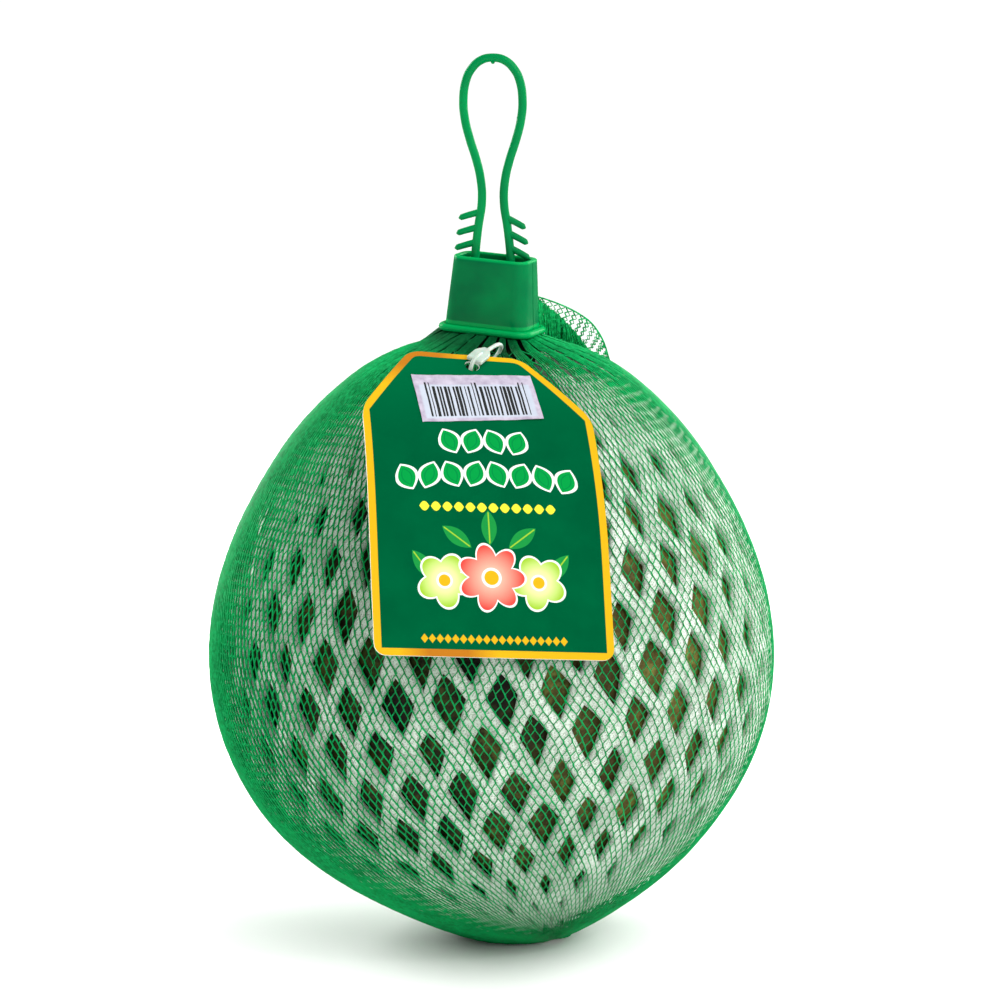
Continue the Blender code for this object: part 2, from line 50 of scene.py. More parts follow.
# Shader maths reads as Python: a Wire is one output socket, and an expression on wires adds its Math nodes.
class Wire:
    def __init__(self, paint, socket):
        self.paint = paint
        self.socket = socket

    def __add__(self, other):
        return self.paint.maths("ADD", self, other)

    def __radd__(self, other):
        return self.paint.maths("ADD", other, self)

    def __sub__(self, other):
        return self.paint.maths("SUBTRACT", self, other)

    def __rsub__(self, other):
        return self.paint.maths("SUBTRACT", other, self)

    def __mul__(self, other):
        return self.paint.maths("MULTIPLY", self, other)

    def __truediv__(self, other):
        return self.paint.maths("DIVIDE", self, other)

    def __abs__(self):
        return self.paint.maths("ABSOLUTE", self)


class Paint:
    def __init__(self, name, fixed):
        self.material = bpy.data.materials.new(name)
        self.material.use_nodes = True
        self.tree = self.material.node_tree
        self.shader = self.tree.nodes["Principled BSDF"]
        for socket, value in fixed.items():
            self.shader.inputs[socket].default_value = value

    def node(self, kind, settings, inputs, output=0):
        made = self.tree.nodes.new(kind)
        for name, value in settings.items():
            setattr(made, name, value)
        for name, value in inputs.items():
            self.feed(made.inputs[name], value)
        return Wire(self, made.outputs[output])

    def feed(self, socket, value):
        # the value is a wire, a number, a vector or the code of a screen colour
        if isinstance(value, Wire):
            self.tree.links.new(value.socket, socket)
        else:
            socket.default_value = tint(value) if isinstance(value, str) else value

    def maths(self, operation, a, b=0.0, clamp=False):
        return self.node("ShaderNodeMath", {"operation": operation, "use_clamp": clamp}, {0: a, 1: b})

    def lowest(self, a, b):
        return self.maths("MINIMUM", a, b)

    def highest(self, a, b):
        return self.maths("MAXIMUM", a, b)

    def above(self, value, edge, soft):
        # 0 below the edge and 1 above it, with a soft step between
        return self.maths("ADD", (value - edge) / soft, 0.5, clamp=True)

    def colourMix(self, factor, a, b):
        return self.node("ShaderNodeMix", {"data_type": "RGBA"}, {0: factor, 6: a, 7: b}, output=2)

    def objectPlace(self):
        return self.node("ShaderNodeTexCoord", {}, {}, output=3)

    def flatAxes(self):
        # the flat card's x and y in millimetres
        u, v, _ = self.axes(self.node("ShaderNodeUVMap", {"uv_map": "flat"}, {}))
        return (u - 0.5) * flatSpan, v * flatSpan

    def axes(self, place):
        split = self.tree.nodes.new("ShaderNodeSeparateXYZ")
        self.feed(split.inputs[0], place)
        return [Wire(self, output) for output in split.outputs]

    def together(self, x, y):
        return self.node("ShaderNodeCombineXYZ", {}, {0: x, 1: y})

    def stretched(self, place, scale):
        return self.node("ShaderNodeVectorMath", {"operation": "MULTIPLY"}, {0: place, 1: scale})

    def noise(self, place, scale, detail, roughness):
        inputs = {"Vector": place, "Scale": scale, "Detail": detail, "Roughness": roughness}
        return self.node("ShaderNodeTexNoise", {}, inputs)

    def spread(self, value, low, high):
        # stretches low..high to 0..1
        return self.maths("MULTIPLY", value - low, 1 / (high - low), clamp=True)

    def mottle(self, place, scale, detail, roughness, low, high):
        # a noise, with its values from low to high stretched to 0..1
        return self.spread(self.noise(place, scale, detail, roughness), low, high)

    def colour(self, value):
        self.feed(self.shader.inputs["Base Color"], value)

    def rough(self, value):
        self.feed(self.shader.inputs["Roughness"], value)

    def bump(self, height, distance, strength=1.0):
        inputs = {"Height": height, "Distance": distance, "Strength": strength}
        self.feed(self.shader.inputs["Normal"], self.node("ShaderNodeBump", {}, inputs))


def tint(code):
    # a screen colour such as #00783f, as the linear colour that shaders use
    parts = [int(code[k:k + 2], 16) / 255 for k in (1, 3, 5)]
    return (*[c / 12.92 if c < 0.04045 else ((c + 0.055) / 1.055) ** 2.4 for c in parts], 1.0)


# modelling helpers
def deselectAll():
    bpy.ops.object.select_all(action="DESELECT")


def makeActive(piece):
    deselectAll()
    piece.select_set(True)
    bpy.context.view_layer.objects.active = piece


def newest(name):
    piece = bpy.context.object
    piece.name = piece.data.name = name
    return piece


def editMode():
    bpy.ops.object.mode_set(mode="EDIT")


def objectMode():
    bpy.ops.object.mode_set(mode="OBJECT")


def selectMesh():
    bpy.ops.mesh.select_all(action="SELECT")


def pick(piece, kind, test):
    # in edit mode: selects the vertices, edges or faces that the test says, and nothing else
    bpy.ops.mesh.select_mode(type=kind)
    bpy.ops.mesh.select_all(action="DESELECT")
    shape = bmesh.from_edit_mesh(piece.data)
    for item in {"VERT": shape.verts, "EDGE": shape.edges, "FACE": shape.faces}[kind]:
        if test(item):
            item.select_set(True)
    if kind == "VERT":
        shape.select_flush(True)
    bmesh.update_edit_mesh(piece.data)


def pickVerts(piece, test):
    pick(piece, "VERT", lambda vert: test(vert.co))


def pickEdges(piece, test):
    pick(piece, "EDGE", lambda edge: test(edge.verts[0].co, edge.verts[1].co))


def pickFaces(piece, test):
    pick(piece, "FACE", test)


def cutAt(place, normal, **settings):
    selectMesh()
    bpy.ops.mesh.bisect(plane_co=place, plane_no=normal, **settings)


def slicePiece(piece, levels, axis):
    # cuts the mesh across an axis at each level, so that it can bend there
    makeActive(piece)
    editMode()
    for level in levels:
        place, normal = [0, 0, 0], [0, 0, 0]
        place[axis], normal[axis] = level, 1
        cutAt(place, normal)
    objectMode()


def boxPiece(name, size, location=(0, 0, 0), rotation=(0, 0, 0)):
    bpy.ops.mesh.primitive_cube_add(size=1, location=location, rotation=rotation, scale=size)
    bpy.ops.object.transform_apply()
    return newest(name)


def thicken(piece, thickness, offset):
    wall = piece.modifiers.new("wall", "SOLIDIFY")
    wall.thickness = thickness
    wall.offset = offset


def applyModifiers(piece):
    makeActive(piece)
    for modifier in list(piece.modifiers):
        bpy.ops.object.modifier_apply(modifier=modifier.name)


def joined(name, pieces):
    deselectAll()
    for piece in pieces:
        piece.select_set(True)
    bpy.context.view_layer.objects.active = pieces[0]
    bpy.ops.object.join()
    return newest(name)


def reshape(piece, rule):
    # moves each vertex to where the rule puts it
    for vert in piece.data.vertices:
        vert.co = rule(vert.co)
    piece.data.update()


def placeIn(piece, matrix):
    piece.data.transform(matrix)
    piece.data.update()


def finishPiece(piece, paints, nodes, smoothAngle=35):
    makeActive(piece)
    bpy.ops.object.transform_apply()
    bpy.ops.object.shade_smooth_by_angle(angle=math.radians(smoothAngle))
    piece.data.materials.clear()
    for paint in paints:
        piece.data.materials.append(paint.material)
    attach(piece, "root")
    if nodes:
        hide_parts(*nodes)


def arrayPiece(name, points, faces):
    # a piece from an array of points and a list of faces, for nets that no primitive gives
    mesh = bpy.data.meshes.new(name)
    mesh.from_pydata(points.reshape(-1, 3).tolist(), [], faces)
    mesh.update()
    piece = bpy.data.objects.new(name, mesh)
    bpy.context.scene.collection.objects.link(piece)
    return piece


def unit(vectors):
    return vectors / np.maximum(np.linalg.norm(vectors, axis=-1, keepdims=True), 1e-12)


def tubes(name, lines, outward, radius, sides=3, flat=1.0):
    # closed tubes along many lines at once: lines is (line, step, xyz), radius is (line, step), and
    # flat below 1 makes them tapes that lie on the surface
    count, steps = lines.shape[:2]
    along = unit(np.gradient(lines, axis=1))
    normal = unit(outward - (outward * along).sum(-1, keepdims=True) * along)
    side = np.cross(along, normal)
    turn = 2 * np.pi * np.arange(sides) / sides
    flat = np.broadcast_to(flat, radius.shape)[:, :, None, None]
    offset = flat * np.cos(turn)[:, None] * normal[:, :, None] + np.sin(turn)[:, None] * side[:, :, None]
    points = lines[:, :, None] + radius[:, :, None, None] * offset
    first = np.arange(count)[:, None, None] * steps * sides
    here = first + np.arange(steps - 1)[None, :, None] * sides
    k = np.arange(sides)[None, None, :]
    following = (k + 1) % sides
    walls = np.stack([here + k, here + following, here + sides + following, here + sides + k], -1)
    faces = walls.reshape(-1, 4).tolist()
    starts = first.reshape(-1, 1) + np.arange(sides)[::-1][None]
    ends = first.reshape(-1, 1) + (steps - 1) * sides + np.arange(sides)[None]
    return arrayPiece(name, points, faces + starts.tolist() + ends.tolist())


# the wrapped body that every layer follows
wrap = {
    # polar angle from the top in degrees, and the bag's radius about the centre in millimetres
    "outline": (
        (0, 88.5), (13, 88.7), (22, 87.4), (31, 84.8), (42, 81.7), (52, 79.2), (65, 77.6), (78, 77.0),
        (90, 76.7), (103, 76.2), (120, 75.1), (140, 74.1), (152, 74.3), (163, 76.0), (180, 80.2),
    ),
    "centre": 75.9 * mm,
    "gatherShift": 6.5 * mm,  # the foot of the bag is drawn towards +X
    "gatherReach": 38 * mm,
    "lean": math.radians(7.5),  # the net and the sleeve sit askew, their foot towards +X
    "nod": math.radians(1.0),  # and a little towards -Y
    # where the net stands off the fruit, beside its gathered foot: turn, polar angle, reach and depth
    "standOff": (math.radians(-8), math.radians(156), math.radians(15), 5.5 * mm),
}


def smoothValue(points, x):
    # a smooth curve through (x, y) points, for whole arrays of x
    xs, ys = np.array(points, float).T
    x = np.clip(x, xs[0], xs[-1])
    index = np.clip(np.searchsorted(xs, x) - 1, 0, len(xs) - 2)
    before = np.maximum(index - 1, 0)
    after = np.minimum(index + 2, len(xs) - 1)
    width = xs[index + 1] - xs[index]
    slopeIn = (ys[index + 1] - ys[before]) / (xs[index + 1] - xs[before])
    slopeOut = (ys[after] - ys[index]) / (xs[after] - xs[index])
    t = (x - xs[index]) / width
    return (
        (2 * t**3 - 3 * t**2 + 1) * ys[index] + (t**3 - 2 * t**2 + t) * slopeIn * width
        + (3 * t**2 - 2 * t**3) * ys[index + 1] + (t**3 - t**2) * slopeOut * width
    )


def smoothAt(points, x):
    return float(smoothValue(points, np.array(x)))


def smoothStep(value, low, high):
    t = np.clip((value - low) / (high - low), 0, 1)
    return t * t * (3 - 2 * t)


def smoothRise(value, low, high):
    return float(smoothStep(np.array(value), low, high))


def directions(turn, polar, lean=0.0, nod=0.0):
    x = np.sin(polar) * np.cos(turn)
    y = np.sin(polar) * np.sin(turn)
    z = np.cos(polar)
    y, z = y * np.cos(nod) + z * np.sin(nod), z * np.cos(nod) - y * np.sin(nod)
    return np.stack([x * np.cos(lean) - z * np.sin(lean), y, x * np.sin(lean) + z * np.cos(lean)], -1)


def bodyPoints(direction, depth):
    polar = np.degrees(np.arccos(np.clip(direction[..., 2], -1, 1)))
    reach = smoothValue(wrap["outline"], polar) * mm - depth
    height = np.maximum(wrap["centre"] + direction[..., 2] * reach, depth)
    shift = wrap["gatherShift"] * np.maximum(0, 1 - height / wrap["gatherReach"]) ** 2
    return np.stack([direction[..., 0] * reach + shift, direction[..., 1] * reach, height], -1)


def innerPoints(direction, depth):
    # as bodyPoints, for the fruit and the sleeve, which the net leaves free beside its foot
    turn, polar, reach, deepest = wrap["standOff"]
    middle = directions(np.array(turn), np.array(polar))
    angle = np.arccos(np.clip((direction * middle).sum(-1), -1, 1))
    return bodyPoints(direction, depth + deepest * np.exp(-((angle / reach) ** 2)))


def slowField(rng, x, y, count, low, high):
    # a soft random field of unit size, smooth and cyclic in x, which runs once round in 0..1
    total = 0 * x
    for _ in range(count):
        around, along = rng.randint(low, high), rng.uniform(-high, high)
        total = total + np.sin(2 * np.pi * (around * x + along * y + rng.random()))
    return total / math.sqrt(count / 2)


# fruit
fruit = {
    "depth": 4.1 * mm,  # below the bag's face
    "segments": 128,
    "rings": 96,
    "crownDrop": 3.5 * mm,
    "crownAngle": math.radians(30),
    "scarRadius": 4.5 * mm,
    "scarDepth": 1.4 * mm,
    "stemRadius": 2.6 * mm,
    "stemHeight": 1.1 * mm,
    # the peel is painted darker than a pomelo's own colour: partly its colour, partly painted shade for the
    # sleeve's deep holes
    "dark": "#130e08",
    "olive": "#272b0d",
    "tan": "#95984c",
    "litSide": "#756635",
}


def peelPaint():
    paint = Paint("pittedPeel", {"Specular IOR Level": 0.12})
    place = paint.objectPlace()
    blotch = paint.mottle(place, 55, 4, 0.6, 0.38, 0.66)
    freckle = paint.mottle(place, 420, 2, 0.5, 0.42, 0.6)
    # painted light: the cheek towards +X, where the sun falls, is painted lighter, and its tan freckles show
    # most there
    litSide = paint.spread(paint.axes(place)[0] + blotch * 0.02, 0.005, 0.075)
    base = paint.colourMix(blotch, fruit["dark"], fruit["olive"])
    base = paint.colourMix(litSide * 0.85, base, fruit["litSide"])
    paint.colour(paint.colourMix(freckle * blotch * (litSide * 0.7 + 0.2), base, fruit["tan"]))
    pits = paint.node("ShaderNodeTexVoronoi", {"feature": "F1"}, {"Vector": place, "Scale": 620})
    pitDepth = paint.spread(pits, 0.05, 0.5)
    paint.rough(0.62 - pitDepth * 0.2)
    paint.bump(pitDepth + blotch * 0.6, 0.25 * mm, 0.8)
    return paint


def makeFruit():
    # a fruit that narrows towards its crown, with a stem scar sunk there
    bpy.ops.mesh.primitive_uv_sphere_add(segments=fruit["segments"], ring_count=fruit["rings"], radius=1)
    piece = newest("pomeloFruit")
    points = np.empty(len(piece.data.vertices) * 3)
    piece.data.vertices.foreach_get("co", points)
    direction = unit(points.reshape(-1, 3))
    polar = np.arccos(np.clip(direction[:, 2], -1, 1))
    drop = fruit["crownDrop"] * np.maximum(0, 1 - polar / fruit["crownAngle"]) ** 2
    points = innerPoints(direction, fruit["depth"] + drop)
    piece.data.vertices.foreach_set("co", points.ravel())
    top = points[:, 2].max()
    editMode()
    scar = fruit["scarRadius"]
    pickVerts(piece, lambda co: co.z > 0.1 and co.xy.length < scar)
    bpy.ops.transform.translate(value=(0, 0, -fruit["scarDepth"]))
    pickVerts(piece, lambda co: co.z > 0.1 and co.xy.length < 0.6 * scar)
    bpy.ops.transform.translate(value=(0, 0, -0.3 * fruit["scarDepth"]))
    objectMode()
    bpy.ops.mesh.primitive_cylinder_add(
        vertices=20, radius=fruit["stemRadius"], depth=fruit["stemHeight"],
        location=(0, 0, top - 1.3 * fruit["scarDepth"] + 0.5 * fruit["stemHeight"]),
    )
    stem = newest("stem")
    editMode()
    pickFaces(stem, lambda face: face.normal.z > 0.9)
    bpy.ops.mesh.inset(thickness=0.3 * fruit["stemRadius"])
    bpy.ops.transform.translate(value=(0, 0, -0.3 * mm))
    objectMode()
    piece = joined("pomeloFruit", [piece, stem])
    finishPiece(piece, [peelPaint()], ["pomelo"], 60)
    stageDone("fruit")


# foam sleeve
foam = {
    "columns": 34,
    "rows": 15,
    "footAngle": math.radians(166.0),
    "topAngle": math.radians(21.4),
    "phase": 0.265,  # in columns
    "outerDepth": 0.9 * mm,  # below the bag's face
    "innerDepth": 3.6 * mm,
    # how far the holes of a row stand open, counted from the foot
    "opening": (
        (1, 0.1), (2, 0.3), (3, 0.6), (4, 0.85), (5, 1.0), (10, 1.0), (11, 0.9), (12, 0.7), (14, 0.15),
    ),
    # a strand's rounded section: share of the way from its middle line to the hole, and from its
    # outer to its inner face
    "section": (
        (0, 0), (0.55, 0.02), (0.85, 0.09), (1.0, 0.3), (1.05, 0.55), (0.98, 0.82), (0.8, 1.0), (0, 1.0),
    ),
    "holeWidth": 0.62,  # share of a column
    "holeHeight": 0.61,  # share of two rows
    "wideLevel": 0.18,  # the hole is widest above its middle, as a share of its half height
    "fullness": 0.06,  # how far the hole's sides bow outwards
    "jitter": 0.03,
    "puff": 0.175 * mm,  # slow rise and fall of the sleeve's face
    "sideSteps": 4,
    "seed": 5,
    "light": "#e3eae1",
    "shade": "#c8d3c7",
    "speck": "#96a492",
}


def foamPaint():
    paint = Paint("speckledFoam", {"Roughness": 0.8, "Specular IOR Level": 0.1})
    place = paint.objectPlace()
    grain = paint.mottle(place, 2600, 2, 0.6, 0.36, 0.62)
    cloud = paint.mottle(place, 90, 3, 0.5, 0.35, 0.7)
    base = paint.colourMix(cloud, foam["shade"], foam["light"])
    paint.colour(paint.colourMix(paint.above(grain, 0.3, 0.5), foam["speck"], base))
    paint.bump(grain, 0.1 * mm, 0.5)
    return paint


def foamHole(side):
    # the outline of one hole about its centre, in half pitches: right, top, left, bottom corners
    width, height = foam["holeWidth"], foam["holeHeight"]
    level = foam["wideLevel"] * height
    corners = [(width, level), (0, height), (-width, level), (0, -height)]
    here, there = np.array(corners[side]), np.array(corners[(side + 1) % 4])
    t = np.arange(foam["sideSteps"])[:, None] / foam["sideSteps"]
    line = here * (1 - t) + there * t
    return line * (1 + foam["fullness"] * np.sin(np.pi * t))


def makeFoam():
    # diamond holes in staggered rows: rings of points run from the strands' middle lines to the
    # inner rim of each hole
    rng = random.Random(foam["seed"])
    columns, rows, steps = foam["columns"], foam["rows"], foam["sideSteps"]
    crests = [(1, 0), (0, 1), (-1, 0), (0, -1)]
    t = np.arange(steps)[:, None] / steps

    def aroundCell(corners):
        # the corners, with steps between them
        return np.concatenate([corners[k] * (1 - t) + corners[(k + 1) % 4] * t for k in range(4)])

    crest = aroundCell(np.array(crests))
    hole = np.concatenate([foamHole(k) for k in range(4)])
    section = foam["section"]
    shifts = {}

    def crestShift(u, v):
        key = (round(2 * u) % (2 * columns), round(v))
        if key not in shifts:
            shifts[key] = (rng.gauss(0, foam["jitter"]), rng.gauss(0, foam["jitter"]))
        return shifts[key]

    allPoints, faces, count = [], [], 0
    ring = 4 * steps
    for row in range(1, rows):
        odd = row % 2
        for i in range(columns):
            u, v = i + 0.5 + 0.5 * odd, row
            moved = np.array([crestShift(u + 0.5 * x, v + y) for x, y in crests])
            sway = aroundCell(moved)
            lean = np.array([rng.gauss(0, 0.05), rng.gauss(0, 0.04)])
            opening = float(np.interp(row, *np.array(foam["opening"]).T)) * (1 + rng.gauss(0, 0.06))
            grow = np.array([opening, 0.5 + 0.5 * opening])
            us, vs, shares = [], [], []
            for out, down in section:
                flat = crest * (1 - out) + (hole * grow + lean) * out
                us.append(u + 0.5 * flat[:, 0] + sway[:, 0])
                vs.append(v + flat[:, 1] + sway[:, 1])
                shares.append(np.full(ring, down))
            allPoints.append((np.array(us), np.array(vs), np.array(shares)))
            for level in range(len(section) - 1):
                for k in range(ring):
                    n = (k + 1) % ring
                    a, b = count + level * ring, count + (level + 1) * ring
                    faces.append((a + k, a + n, b + n, b + k))
            last = count + (len(section) - 1) * ring
            for k in range(ring):
                atFoot, atTop = row == 1 and k >= 2 * steps, row == rows - 1 and k < 2 * steps
                if atFoot or atTop:  # the sleeve's open ends
                    n = (k + 1) % ring
                    faces.append((count + n, count + k, last + k, last + n))
            count += len(section) * ring
    us, vs, shares = (np.concatenate([part[k].ravel() for part in allPoints]) for k in range(3))
    polar = foam["footAngle"] + (foam["topAngle"] - foam["footAngle"]) * vs / rows
    turn = 2 * np.pi * (us + foam["phase"]) / columns
    depth = foam["outerDepth"] + (foam["innerDepth"] - foam["outerDepth"]) * shares
    depth = depth + foam["puff"] * slowField(rng, us / columns, vs / rows, 14, 3, 19)
    points = innerPoints(directions(turn, polar, wrap["lean"], wrap["nod"]), depth)
    piece = arrayPiece("foamNet", points, faces)
    makeActive(piece)
    editMode()
    selectMesh()
    bpy.ops.mesh.remove_doubles(threshold=0.02 * mm)
    bpy.ops.mesh.normals_make_consistent(inside=False)
    objectMode()
    finishPiece(piece, [foamPaint()], ["foam_sleeve"], 75)
    stageDone("foam sleeve")


# collar's place, which the neck of the net shares
collar = {
    "place": (0.1 * mm, 0, 166.2 * mm),
    "yaw": math.radians(-22),
    "pitch": math.radians(3),
    "roll": math.radians(4.2),
    "height": 19.4 * mm,
    "footHalf": (11.9 * mm, 7.2 * mm),
    "topHalf": (10.7 * mm, 6.0 * mm),
    "corner": 3.6 * mm,
    "wall": 1.4 * mm,
    "bead": 0.95 * mm,
    "beadDrop": 0.4 * mm,
    "flange": 0.6 * mm,  # by which the bead stands out
    "bow": 0.35 * mm,  # of the long sides
    "lip": 0.45 * mm,
    "rib": (0.2 * mm, 0.3 * mm, 0.96),  # parting line: depth, width and share of the height
    # levels below and above which the rims get a painted highlight, a lighter green
    "highlightRims": (2.1 * mm, 18.7 * mm),
    "roughness": 0.34,
    "green": "#006338",
    "lightGreen": "#009a4e",
}
collarFrame = (
    Matrix.Translation(collar["place"]) @ Matrix.Rotation(collar["yaw"], 4, "Z")
    @ Matrix.Rotation(collar["pitch"], 4, "X") @ Matrix.Rotation(collar["roll"], 4, "Y")
)


# net bag
net = {
    "columns": 230,
    "rows": 76,
    "footAngle": math.radians(177),
    "topAngle": math.radians(13),
    "footStretch": 0.5,  # how much taller the cells are near the foot
    "crowding": (0.2, math.radians(30)),  # the columns stand closer on the left and behind
    "nod": math.radians(7),  # of its foot, towards -Y
    "junction": 0.16,  # share of a row over which two strands run together
    "junctionSlope": 0.3,
    "radii": (0.23 * mm, 0.18 * mm),
    "footThin": 0.62,
    "sideThin": 0.18,
    "flat": (0.95, -0.3),  # height of a strand by its width: in the middle, and more towards +X
    "depths": (0.36 * mm, 0.56 * mm),
    "sway": 0.22,  # slow wander of the cells, in columns
    "strandSway": 0.07,
    "wanderKnots": 24,
    "pleats": 33,  # into which the strands gather below the collar
    "pleatStart": 68,  # row where that begins
    "pleating": 0.3,
    "pleatDepth": 0.8 * mm,
    "looseShare": 0.1,  # of the strands stay out of the pleats
    "neckSteps": 16,
    "seed": 11,
    "green": "#009c50",
    "lightGreen": "#12bb68",
    "deepGreen": "#008242",
    "shadeGreen": "#06301a",  # painted shade in the crease under the collar
}
# the gathered neck: half width, half depth and height in the collar's frame
neckRings = ((13.0, 8.6, -0.8), (9.6, 4.9, -0.4), (8.4, 4.3, 2.6), (8.2, 4.0, 11.5))


def collarLevel(paint, place):
    # height above the collar's foot
    up = collarFrame.col[2].xyz
    along = paint.node("ShaderNodeVectorMath", {"operation": "DOT_PRODUCT"}, {0: place, 1: up}, output=1)
    return along - up.dot(collarFrame.translation)


def netPaint(name, lift):
    paint = Paint(name, {"Specular IOR Level": 0.1})
    place = paint.objectPlace()
    cloud = paint.mottle(place, 120, 3, 0.55, 0.35, 0.68)
    fleck = paint.mottle(place, 900, 2, 0.5, 0.4, 0.62)
    base = paint.colourMix(cloud, net["deepGreen"], net["green"])
    base = paint.colourMix(fleck * lift, base, net["lightGreen"])
    level = collarLevel(paint, place)
    # painted shade: just below the collar, on its front and on the side away from +X, the strands are painted
    # dark green as if in the collar's shadow
    creaseShade = paint.above(level, -4.4 * mm, 4 * mm) * paint.above(paint.axes(place)[0] * -1, -7 * mm, 6 * mm)
    paint.colour(paint.colourMix(creaseShade * 0.8, base, net["shadeGreen"]))
    paint.rough(0.36 + fleck * 0.18)
    paint.bump(fleck, 0.05 * mm, 0.5)
    return paint


def neckPoints(turn, share, depth):
    # from the shoulder's last ring up through the collar: a smooth curve through one point of each ring
    matrix = np.array(collarFrame)
    rings = [bodyPoints(directions(turn, net["topAngle"] + angle), depth) for angle in (0.12, 0.0)]
    # fluted, and narrower for the layer that lies deeper
    flute = 1 + 0.07 * np.sin(11 * turn) + 0.06 * np.sin(17 * turn + 1.3) - depth / (9 * mm)
    for halfWidth, halfDepth, height in neckRings:
        spin = turn - collar["yaw"]
        flat = [halfWidth * flute * np.cos(spin), halfDepth * flute * np.sin(spin), height + 0 * turn]
        rings.append(np.stack(flat, -1) * mm @ matrix[:3, :3].T + matrix[:3, 3])
    rings.append(2 * rings[-1] - rings[-2])
    rings = np.stack(rings)
    where = share * len(neckRings)
    index = np.clip(np.floor(where).astype(int), 0, len(neckRings) - 1)
    t = (where - index)[..., None]
    p = [np.take_along_axis(rings, (index + k)[None, ..., None], 0)[0] for k in range(4)]
    return 0.5 * (
        2 * p[1] + (p[2] - p[0]) * t + (2 * p[0] - 5 * p[1] + 4 * p[2] - p[3]) * t**2
        + (3 * p[1] - p[0] - 3 * p[2] + p[3]) * t**3
    )


def netPoints(column, row, depth, loose):
    # row runs from 0 at the foot to net["rows"] at the shoulder, and on to one more through the neck
    onBody = np.minimum(row, net["rows"]) / net["rows"]
    stretched = onBody + net["footStretch"] * onBody * (1 - onBody) ** 3
    polar = net["footAngle"] + (net["topAngle"] - net["footAngle"]) * stretched
    around = column / net["columns"]
    rng = random.Random(net["seed"])
    width = net["columns"] / net["pleats"]
    # the pleats are not all as wide
    wave = 0.3 * width * np.sin(2 * np.pi * (3 * around + 0.2))
    wave = wave + 0.2 * width * np.sin(2 * np.pi * 5 * around)
    inPleat = (column + wave) / width
    aside = inPleat - np.round(inPleat)
    gather = net["pleating"] * smoothStep(row, net["pleatStart"], net["rows"]) * (1 - loose)
    column = column - gather * aside * width
    depth = depth + net["pleatDepth"] * gather * (2 * np.abs(aside)) ** 2
    calm = 1 - smoothStep(row, net["rows"] - 14, net["rows"])
    column = column + net["sway"] * calm * slowField(rng, around, onBody, 10, 2, 9)
    turn = 2 * np.pi * column / net["columns"]
    share, phase = net["crowding"]
    turn = turn + share * np.sin(turn + phase)
    askew = smoothStep(polar, math.radians(40), math.radians(150))
    body = bodyPoints(directions(turn, polar, wrap["lean"] * askew, net["nod"] * askew), depth)
    neck = neckPoints(turn, np.clip(row - net["rows"], 0, 1), depth)
    return np.where((row > net["rows"])[..., None], neck, body)


def makeNet():
    # two families of strands cross at every whole row, and run together for a little way there
    rng = np.random.default_rng(net["seed"])
    rows, columns, share = net["rows"], net["columns"], net["junction"]
    half = columns // 2
    middle = np.sort(np.concatenate([np.arange(rows) + share, np.arange(rows) + 1 - share]))
    neck = rows + np.arange(1, net["neckSteps"] + 1) / net["neckSteps"]
    row = np.concatenate([[0.0], middle, [float(rows)], neck])
    fraction = np.minimum(row, rows) % 1.0
    atJoint = np.where(fraction > 0.5, fraction - 1, fraction)
    atJoint = np.where(np.abs(atJoint) <= share + 1e-6, atJoint, 0)
    for family, (name, direction) in enumerate((("netRight", -1), ("netLeft", 1))):
        base = direction * 0.5 * np.minimum(row, rows)
        # near a joint both families lean the same way
        base = base - atJoint * (net["junctionSlope"] + direction * 0.5)
        for part in range(2):
            starts = np.arange(part * half, (part + 1) * half)
            wander = net["strandSway"] * rng.standard_normal((half, net["wanderKnots"]))
            knots = np.linspace(0, rows + 1, net["wanderKnots"])
            drift = np.stack([np.interp(row, knots, line) for line in wander])
            column = starts[:, None] + base[None] + drift
            rowGrid = np.repeat(row[None], half, 0)
            loose = (rng.random((half, 1)) < net["looseShare"]).astype(float)
            lines = netPoints(column, rowGrid, net["depths"][family], loose)
            thick = net["radii"][family] * (1 + 0.12 * rng.standard_normal((half, 1)))
            swell = 1 + 0.12 * rng.standard_normal((half, len(row)))
            centre = np.array([0, 0, wrap["centre"]])
            outward = unit(lines - centre)
            # thinner where the strands crowd at the foot, and drawn finer on the side towards +X
            crowd = net["footThin"] + (1 - net["footThin"]) * smoothStep(row / rows, 0.05, 0.3)
            drawn = 1 - net["sideThin"] * (outward[..., 0] + 0.4)
            thick = np.clip(thick * swell * crowd * drawn, 0.1 * mm, 0.3 * mm)
            flat = net["flat"][0] + net["flat"][1] * outward[..., 0]
            piece = tubes(f"{name}{part + 1}", lines, outward, thick, flat=flat)
            plastic = netPaint(f"{name}Plastic{part + 1}", 0.5 + 0.4 * family)
            finishPiece(piece, [plastic], ["net_bag"], 180)
    stageDone("net bag")


# core of the neck
core = {
    # levels in the collar's frame, with the half width and the half depth there, in millimetres
    "foot": -13,
    "top": 17.4,
    "widths": ((-13, 17.0), (-5, 12.6), (-1.2, 10.4), (0.8, 8.2), (3.5, 7.4), (17.4, 8.8)),
    "depths": ((-13, 15.0), (-5, 9.4), (-1.2, 6.4), (0.8, 4.3), (3.5, 3.6), (17.4, 4.2)),
    "sides": 66,
    "slices": (-13, 16, 24),  # first and last level, and how many
    # painted shadow: both colours are the net inside the neck as seen in shade
    "shadow": "#140f08",
    "green": "#14401f",
}


